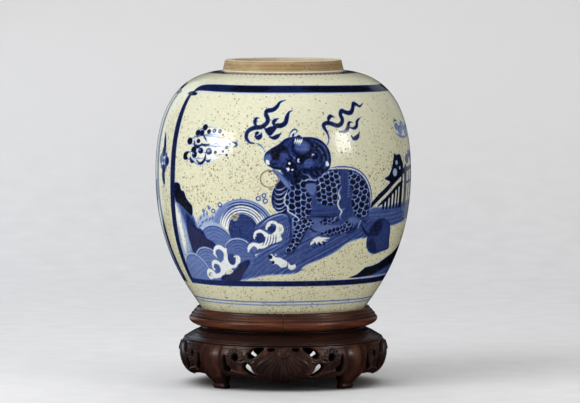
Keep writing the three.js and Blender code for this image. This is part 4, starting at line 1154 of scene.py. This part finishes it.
def shoulder_outline():
    top = RIM_BOTTOM - JOINT_GAP
    hollow = smooth([(84.9, SHOULDER_BOTTOM), (85.5, 38.9), (85.4, 39.6), (84.7, 40.2), (83.9, 40.3),
                     (83.6, 40.7), (82.2, 41.7), (79.8, 43.1), (77.4, 44.5), (75.9, 45.2), (75.4, 45.0),
                     (75.0, 45.5), (73.6, 46.3), (71.4, 47.2), (70.1, 48.0), (69.7, 48.6), (69.8, top)], 0.35)
    return np.vstack([[(60.0, SHOULDER_BOTTOM), (80.0, SHOULDER_BOTTOM)], hollow, [(60.0, top)]])


def polygon_distance(points, across, height):
    """Signed distance to a closed polygon, positive inside it."""
    nearest = np.full(across.shape, 1e9)
    inside = np.zeros(across.shape, bool)
    for (ax, az), (bx, bz) in zip(points, np.roll(points, -1, axis=0)):
        dx, dz = bx - ax, bz - az
        t = np.clip(((across - ax) * dx + (height - az) * dz) / (dx * dx + dz * dz + 1e-12), 0, 1)
        nearest = np.minimum(nearest, (across - ax - t * dx) ** 2 + (height - az - t * dz) ** 2)
        if az != bz:
            inside ^= ((az > height) != (bz > height)) & (across < dx * (height - az) / dz + ax)
    return np.where(inside, 1.0, -1.0) * np.sqrt(nearest)


def carved_panel(name, across, heights, mask, front, back, hollow, place, material):
    """A pierced, carved panel. Wood is where mask is positive on the grid (across, heights);
    front and back are the radii of its faces, place turns (across, radius) into (x, y). hollow is the depth
    of painted shade on the front; the back is painted in full shade."""
    nodes, spots, polygons, walls = {}, [], {}, []

    def corner(i, j):
        if (i, j) not in nodes:
            nodes[i, j] = len(spots)
            spots.append((across[i], heights[j], front[i, j], back[i, j], hollow[i, j]))
        return nodes[i, j]

    def crossing(a, b):
        key = (min(a, b), max(a, b))
        if key not in nodes:
            (i, j), (k, m) = key
            t = mask[i, j] / (mask[i, j] - mask[k, m])
            pair = [np.array((across[p], heights[q], front[p, q], back[p, q], hollow[p, q]))
                    for p, q in key]
            nodes[key] = len(spots)
            spots.append(tuple(pair[0] + t * (pair[1] - pair[0])))
        return nodes[key]

    solid = mask > 0
    for i in range(len(across) - 1):
        for j in range(len(heights) - 1):
            ring = [(i, j), (i + 1, j), (i + 1, j + 1), (i, j + 1)]
            if not any(solid[spot] for spot in ring):
                continue
            polygon, left = [], None
            first_entry = None
            for a, b in zip(ring, ring[1:] + ring[:1]):
                if solid[a]:
                    polygon.append(corner(*a))
                if solid[a] != solid[b]:
                    cut = crossing(a, b)
                    polygon.append(cut)
                    if solid[a]:
                        left = cut
                    elif left is None:
                        first_entry = cut
                    else:
                        walls.append((cut, left))
                        left = None
            if left is not None:
                walls.append((first_entry, left))
            polygons.setdefault(len(polygon), []).append(polygon)

    spots = np.array(spots)
    count = len(spots)
    layers = []
    for radius in (spots[:, 2], spots[:, 3]):
        x, y = place(spots[:, 0], radius)
        layers.append(np.column_stack([x, y, spots[:, 1]]) * MM)
    faces = []
    for group in polygons.values():
        group = np.array(group)
        faces += [group, group[:, ::-1] + count]
    walls = np.array(walls)
    faces.append(np.column_stack([walls, walls[:, 1] + count, walls[:, 0] + count]))
    piece = new_mesh(name, np.vstack(layers), faces, material)
    # Painted shade: the front carries the given depth of shade, the back faces are painted in full shade.
    set_attribute(piece, "hollow", np.concatenate([spots[:, 4], np.ones(count)]))
    return piece


def rolled(distance, reach):
    """How far a face drops back beside an edge that is rounded over this reach."""
    u = 1 - np.clip(distance / reach, 0, 1)
    return reach * (1 - np.sqrt(np.clip(1 - u * u, 0, 1)))


# Openings on one half of an apron: distances along its curved face from its middle, heights.
APRON_OPENINGS = [
    [(49.0, 17.0), (53.6, 16.2), (55.9, 20.0), (55.6, 27.6), (54.4, 30.0), (52.9, 27.0), (52.3, 22.4),
     (49.8, 20.0)],
    [(40.9, 27.8), (43.4, 25.8), (46.2, 28.0), (45.0, 31.2), (42.0, 31.0)],
    [(17.2, 36.9), (21.6, 32.8), (26.4, 29.0), (30.6, 28.6), (31.8, 31.0), (28.6, 34.8), (23.6, 37.0)],
    [(24.4, 13.8), (28.2, 14.0), (33.6, 17.4), (36.4, 20.8), (33.0, 24.0), (29.4, 21.6), (27.6, 17.8)],
    [(7.8, 35.4), (12.8, 34.6), (13.4, 36.5), (8.4, 36.9)],
]
APRON_HALF = 57.5                   # half its length along the curved face
RELIEF_SINK = 1.1                   # how far the ground of the relief lies below APRON_FACE
EDGE_ROLL = 1.7                     # rounding of the edges of the openings
# An apron's lower edge as (distance from its middle, height), its face and back as (height, radius).
APRON_LOWER_EDGE = [(0, 7.6), (8, 7.9), (14, 9.0), (20, 10.7), (25, 11.1), (31, 10.7), (38, 11.6),
                    (46, 12.0), (60, 12.0)]
APRON_FACE = [(7.6, 78.8), (9.2, 81.2), (12.6, 84.4), (16.4, 86.9), (20.8, 88.5), (25.4, 89.4),
              (29.6, 89.3), (33.6, 88.4), (38.1, 86.7)]
APRON_BACK = [(7.0, 76.0), (12.6, 76.4), (19.0, 79.2), (26.0, 80.6), (32.0, 79.2), (36.0, 77.4), (39.0, 77.0)]


def profile_at(height, points):
    """Radius of a profile given as (height, radius) points, at these heights."""
    line = smooth(points, 0.5)
    order = np.argsort(line[:, 0], kind="stable")
    return np.interp(height, line[order, 0], line[order, 1])


FAN_ROOT = 36.5                     # height that the ribs of the fan-shaped leaf spread from
BOSS_HEIGHT = 32.6                  # of the round boss at the leaf's root
SCROLL, SMALL_SCROLL = (43.4, 28.5), (31.0, 25.6)    # centres of the two curls beside the leaf


def apron_carving(side, height):
    """Relief of the carved face (mm outwards) and the depth of painted shade at each spot, darker in the
    veins, folds and creases, lighter on the raised strap and rail. side is the distance from the middle of
    the apron."""
    leaf = polygon_distance(smooth([(0, 37.0), (6.5, 34.4), (15, 29.5), (23.5, 22), (22, 16), (15, 11.2),
                                    (7, 9.4), (0, 8.2), (-1, 20)], 0.8, closed=True), side, height)
    turn = np.arctan2(side, FAN_ROOT - height)
    distance = np.hypot(side, FAN_ROOT - height)
    veins = 0.5 + 0.5 * np.cos(turn * 34 + 0.8 * np.sin(distance * 0.5))
    leaf_rise = ramp(leaf, -0.2, 1.4)
    boss = 1 - ramp(np.hypot(side, height - BOSS_HEIGHT), 3.2, 4.8)
    eye = np.hypot(side - SCROLL[0], height - SCROLL[1])
    curl = np.arctan2(height - SCROLL[1], side - SCROLL[0])
    scroll = ramp(eye, 2.0, 3.0) - ramp(eye, 7.6, 8.6)
    folds = 0.5 + 0.5 * np.cos(curl * 11 + eye * 0.8)
    second = np.hypot(side - SMALL_SCROLL[0], height - SMALL_SCROLL[1])
    second_curl = np.arctan2(height - SMALL_SCROLL[1], side - SMALL_SCROLL[0])
    second_folds = 0.5 + 0.5 * np.cos(second_curl * 9 + second)
    second_scroll = 1 - ramp(second, 6.0, 7.2)
    strap_line = np.interp(side, [0, 12, 20, 30, 42, 50, 58], [10.0, 11.4, 13.3, 12.9, 14.6, 16.4, 18.0])
    strap = 1 - ramp(np.abs(height - strap_line), 1.5, 2.6)
    strap = strap * ramp(side, 14, 20)
    rail = ramp(height, 35.4, 36.4)
    rise = (0.9 * leaf_rise - 0.36 * leaf_rise * veins * ramp(distance, 5, 9) + 1.0 * boss
            + scroll * (0.5 - 0.6 * folds) + second_scroll * (0.3 - 0.5 * second_folds) * (1 - leaf_rise)
            + 0.9 * strap + 0.5 * rail)
    shade = np.clip(0.25 * leaf_rise + 0.45 * leaf_rise * veins * ramp(distance, 5, 9) + 0.7 * scroll * folds
                    + 0.5 * second_scroll * second_folds * (1 - leaf_rise)
                    + 0.5 * (1 - ramp(np.abs(leaf), 0.2, 1.2)) - 0.8 * strap - rail, 0, 1)
    return rise, shade


def build_apron(index, material):
    """A pierced and carved apron. Both its halves are alike."""
    across = np.arange(-APRON_HALF - 0.8, APRON_HALF + 0.85, CARVING_STEP)
    heights = np.arange(6.8, APRON_TOP + 0.9, CARVING_STEP)
    s, height = np.meshgrid(across, heights, indexing="ij")
    side = np.abs(s)
    low = smooth(APRON_LOWER_EDGE, 0.6)
    edge = height - np.interp(side, low[:, 0], low[:, 1])
    for opening in APRON_OPENINGS:
        edge = np.minimum(edge, -polygon_distance(smooth(opening, 0.5, closed=True), side, height))
    mask = np.minimum(edge, np.minimum(APRON_HALF - side, APRON_TOP - height))
    rise, shade = apron_carving(side, height)
    front = profile_at(height, APRON_FACE) + rise - RELIEF_SINK - rolled(edge, EDGE_ROLL)
    back = profile_at(height, APRON_BACK) + 0 * s
    # Painted shade along the edges of the openings and of the lower edge, above a height of 13 mm.
    shade = np.clip(shade + 0.9 * (1 - ramp(edge, 0.0, 1.2)) * (height > 13), 0, 1)
    centre = index * QUARTER

    def place(distance, radius):
        end = QUARTER / 2 - np.arcsin((LEG_HALF_WIDTH + JOINT_GAP) / radius)
        shift = (end - APRON_HALF / FACE_RADIUS) * ramp(np.abs(distance), 30, APRON_HALF)
        angle = distance / FACE_RADIUS + np.sign(distance) * shift + centre
        return radius * np.sin(angle), -radius * np.cos(angle)

    name = "apron_" + SIDES[index]
    piece = carved_panel(name + "_carved", across, heights, mask, front, back, shade, place, material)
    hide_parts(name)
    return piece


# A leg's face and back as (height, radius), and half its width as (height, width).
LEG_FACE = [(0, 77.4), (0.8, 78.8), (2.4, 79.3), (3.8, 79.0), (4.5, 78.7), (6.8, 80.8), (11, 84.9),
            (15.8, 88.1), (21, 90.1), (26.4, 91.0), (31, 90.6), (35.4, 89.0), (38.1, 87.4)]
LEG_BACK = [(0, 72.0), (3, 72.0), (8, 72.6), (15, 74.0), (22, 72.0), (29, 66.0), (34, 61.4), (38.5, 60.4)]
LEG_WIDTH = [(0, 6.2), (0.9, 7.1), (2.6, 7.4), (3.9, 7.1), (4.8, 6.6), (7.5, 7.4), (10.5, 9.4), (14, 11.2),
             (19, 12.1), (30, 12.1), (39, 12.1)]


def build_leg(index, material):
    """A leg with a cabriole bend, a beaded edge and a small pad foot."""
    across = np.arange(-LEG_HALF_WIDTH - 0.6, LEG_HALF_WIDTH + 0.65, CARVING_STEP)
    heights = np.arange(-0.4, APRON_TOP + 0.9, CARVING_STEP)
    x, height = np.meshgrid(across, heights, indexing="ij")
    side = np.abs(x)
    width = profile_at(height, LEG_WIDTH)
    edge = (width - side) * 0.9
    mask = np.minimum(np.minimum(edge, height), APRON_TOP - height)
    bead = 0.45 * (1 - ramp(np.abs(width - side - 1.6), 0.3, 1.0)) * ramp(height, 9, 13)
    front = (profile_at(height, LEG_FACE) + 0.5 * bead - 0.2 - 0.012 * side ** 2
             - rolled(edge, 1.5) - rolled(height + 0.2, 0.8))
    back = profile_at(height, LEG_BACK) + 0 * x
    # Painted shade: darker towards the floor and in the crease above the pad foot.
    shade = 0.5 * (1 - ramp(height, 0.0, 2.5)) + 0.35 * (1 - ramp(np.abs(height - 4.6), 0.3, 1.2))
    centre = index * QUARTER + QUARTER / 2

    def place(distance, radius):
        depth = -np.sqrt(radius ** 2 - distance ** 2)
        return (distance * math.cos(centre) - depth * math.sin(centre),
                distance * math.sin(centre) + depth * math.cos(centre))

    name = "leg_" + CORNERS[index]
    piece = carved_panel(name + "_carved", across, heights, mask, front, back, shade, place, material)
    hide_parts(name)
    return piece


def build_stand():
    """Finely turned and carved pieces for the outside, and wood for the plain pieces within."""
    dark = (0.010, 0.0042, 0.0034)
    # One hardwood in three tones: the rim painted lighter and redder as painted light, the shoulder and seat
    # panel darker as painted shade, the carved pieces between.
    rim_wood_painted_lit = wood_material("rim_hardwood_painted_lit", (0.026, 0.008, 0.0045), (0.105, 0.028, 0.012),
                             (0.25, 0.066, 0.021))
    wood_painted_shade = wood_material("hardwood_painted_shade", dark, (0.021, 0.008, 0.0062), (0.055, 0.017, 0.010))
    carved_wood = wood_material("carved_hardwood", dark, (0.033, 0.0105, 0.0065), (0.10, 0.028, 0.013),
                                turned=False)
    inner_wood = wood_material("inner_softwood", (0.06, 0.032, 0.016), (0.10, 0.055, 0.03),
                               (0.16, 0.09, 0.05))
    for index in range(4):
        side_turn, corner_turn = index * QUARTER, (index + 0.5) * QUARTER
        rim_line = rim_outline()
        # Painted shade over the rim's beads, darker than the torus below them.
        rim = turned_arc("rim_%s_moulded" % CORNERS[index], rim_line, corner_turn, QUARTER / 2,
                         rim_wood_painted_lit, shade=0.5 * ramp(rim_line[:, 1], TORUS_TOP, BEADS_FROM))
        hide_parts("rim_arc_" + CORNERS[index])
        shoulder = turned_arc("shoulder_%s_moulded" % SIDES[index], shoulder_outline(), side_turn,
                              QUARTER / 2, wood_painted_shade)
        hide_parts("shoulder_arc_" + SIDES[index])
        for piece in (rim, shoulder, build_apron(index, carved_wood), build_leg(index, carved_wood)):
            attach(piece, "stand")
    for name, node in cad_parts.items():
        inner = name.startswith("rim_spline") or name == "seat_batten"
        if inner or name == "seat_panel":
            node.data.materials.clear()
            node.data.materials.append(inner_wood if inner else wood_painted_shade)


# ------------------------------------------------------------------ floor, lights, camera
# Metres, and mm for the lens. They are fitted to the ellipses of the lip, the foot and the lines.
CAMERA_PLACE = (0.0, -3.954, 0.4237)
CAMERA_AIM = (0.0058, 0.0, 0.1557)
CAMERA_LENS = 286.0
SHADED_IN, SHADED_OUT = 0.06, 0.095    # distances from the axis between which the painted shadow under the stand fades out
WORLD_LIGHT, WORLD_SEEN = 0.16, 0.62    # strength of the surroundings as light, and as seen


def build_backdrop():
    """A pale floor that sweeps up behind the object. It is unseen from behind, so that it hides
    nothing from a camera at the back. It carries a painted shadow under the stand, and is painted lighter as
    it rises."""
    floor_end, radius, top, half = 0.9, 1.1, 2.6, 4.0
    turn = np.linspace(0, math.pi / 2, 24)
    line = [(-5.0, 0.0), (-1.0, 0.0), (0.0, 0.0), (floor_end, 0.0)]    # (y, z), from the front
    line += [(floor_end + radius * math.sin(a), radius * (1 - math.cos(a))) for a in turn[1:]]
    line += [(floor_end + radius, top)]
    line = np.array(line)
    across = np.linspace(-half, half, 5)
    vertices = np.array([(x, y, z) for y, z in line for x in across])
    sh = Shader("pale_paper")
    grain = sh.noise(35.0, 3.0)
    height = sh.node("SeparateXYZ", Vector=sh.coordinates).outputs[2]
    # Painted light: darker on the floor, lighter as the sweep rises.
    colour = sh.mix(sh.span(height, 0.0, 0.25), (0.69, 0.685, 0.69, 1), (0.82, 0.81, 0.81, 1))
    colour = sh.mix(grain, colour, (0.80, 0.795, 0.80, 1))
    away = sh.node("VectorMath", {"operation": "LENGTH"}, i0=sh.coordinates).outputs["Value"]
    # Painted shadow under the stand, darkest near the axis.
    colour = sh.mix(sh.span(away, SHADED_OUT, SHADED_IN, 0.0, 0.75), colour, (0.10, 0.09, 0.09, 1))
    paper = sh.finish(Base_Color=colour, Roughness=sh.span(grain, 0.3, 0.7, 0.85, 0.95))
    paper.node_tree.nodes["Principled BSDF"].inputs["Specular IOR Level"].default_value = 0.1
    hidden = sh.node("BsdfTransparent").outputs[0]
    behind = sh.node("NewGeometry").outputs["Backfacing"]
    seen = sh.node("MixShader", i0=behind, i1=sh.surface.outputs[0], i2=hidden).outputs[0]
    sh.put(sh.tree.nodes["Material Output"].inputs["Surface"], seen)
    sweep = new_mesh("backdrop", vertices, [grid_faces(len(line), len(across))], paper)
    sweep.visible_glossy = False


def softbox(name, azimuth, elevation, distance, width, height, power, colour, glossy=True):
    """An area light aimed at the middle of the object. The azimuth is from the front towards +X."""
    data = bpy.data.lights.new(name, "AREA")
    data.shape = "RECTANGLE"
    data.size, data.size_y = width, height
    data.energy = power
    data.color = colour
    light = bpy.data.objects.new(name, data)
    bpy.context.scene.collection.objects.link(light)
    a, e = math.radians(azimuth), math.radians(elevation)
    middle = Vector((0, 0, 0.15))   # about half-way up the object
    away = Vector((math.sin(a) * math.cos(e), -math.cos(a) * math.cos(e), math.sin(e)))
    light.location = middle + away * distance
    light.rotation_mode = "QUATERNION"
    light.rotation_quaternion = away.to_track_quat("Z", "Y")
    light.visible_glossy = glossy
    light.visible_camera = False


def build_lights():
    """Four broad lights for the shape, one for the backdrop, two low ones behind for the edges,
    two small boxes for the highlights on the glaze, and a dim surround."""
    softbox("key", -50, 38, 1.9, 1.4, 1.1, 21, (0.96, 0.98, 1.0), glossy=False)
    softbox("top", 0, 82, 1.9, 2.0, 1.8, 13, (0.98, 0.985, 1.0), glossy=False)
    softbox("front", -10, 8, 2.6, 1.6, 0.6, 11.8, (1.0, 0.97, 0.90), glossy=False)
    softbox("warm_side", 62, 18, 2.2, 1.2, 1.0, 3, (1.0, 0.88, 0.55), glossy=False)
    softbox("backdrop_light", 180, 50, 2.4, 3.0, 0.8, 14, (0.99, 0.985, 1.0), glossy=False)
    softbox("edge_left", -150, 12, 1.6, 0.7, 1.2, 2.0, (0.74, 0.87, 1.0))
    softbox("edge_right", 150, 12, 1.6, 0.7, 1.2, 0.6, (0.97, 0.98, 1.0))
    softbox("box_left", -57, 16, 1.6, 0.66, 0.38, 5.0, (1.0, 0.99, 0.97))
    softbox("box_right", 56, 16, 1.6, 0.42, 0.38, 4.2, (1.0, 1.0, 1.0))
    world = bpy.data.worlds.new("studio")
    bpy.context.scene.world = world
    world.use_nodes = True
    world.cycles_visibility.glossy = False
    tree = world.node_tree
    background = tree.nodes["Background"]
    background.inputs["Color"].default_value = (0.95, 0.97, 1.0, 1)
    seen = tree.nodes.new("ShaderNodeLightPath").outputs["Is Camera Ray"]
    strength = tree.nodes.new("ShaderNodeMapRange")
    strength.inputs["To Min"].default_value = WORLD_LIGHT
    strength.inputs["To Max"].default_value = WORLD_SEEN
    tree.links.new(seen, strength.inputs["Value"])
    tree.links.new(strength.outputs["Result"], background.inputs["Strength"])


def build_camera():
    """The camera of the photograph, far off and a little above the lip."""
    data = bpy.data.cameras.new("camera")
    data.sensor_width = 36          # mm, as the lens
    data.lens = CAMERA_LENS
    data.clip_start, data.clip_end = 0.1, 50
    camera = bpy.data.objects.new("camera", data)
    bpy.context.scene.collection.objects.link(camera)
    camera.location = CAMERA_PLACE
    camera.rotation_mode = "QUATERNION"
    camera.rotation_quaternion = (Vector(CAMERA_AIM) - Vector(CAMERA_PLACE)).to_track_quat("-Z", "Y")
    bpy.context.scene.camera = camera


build_stand()
build_jar()
build_backdrop()
build_lights()
build_camera()
bpy.context.scene.view_settings.view_transform = "Standard"
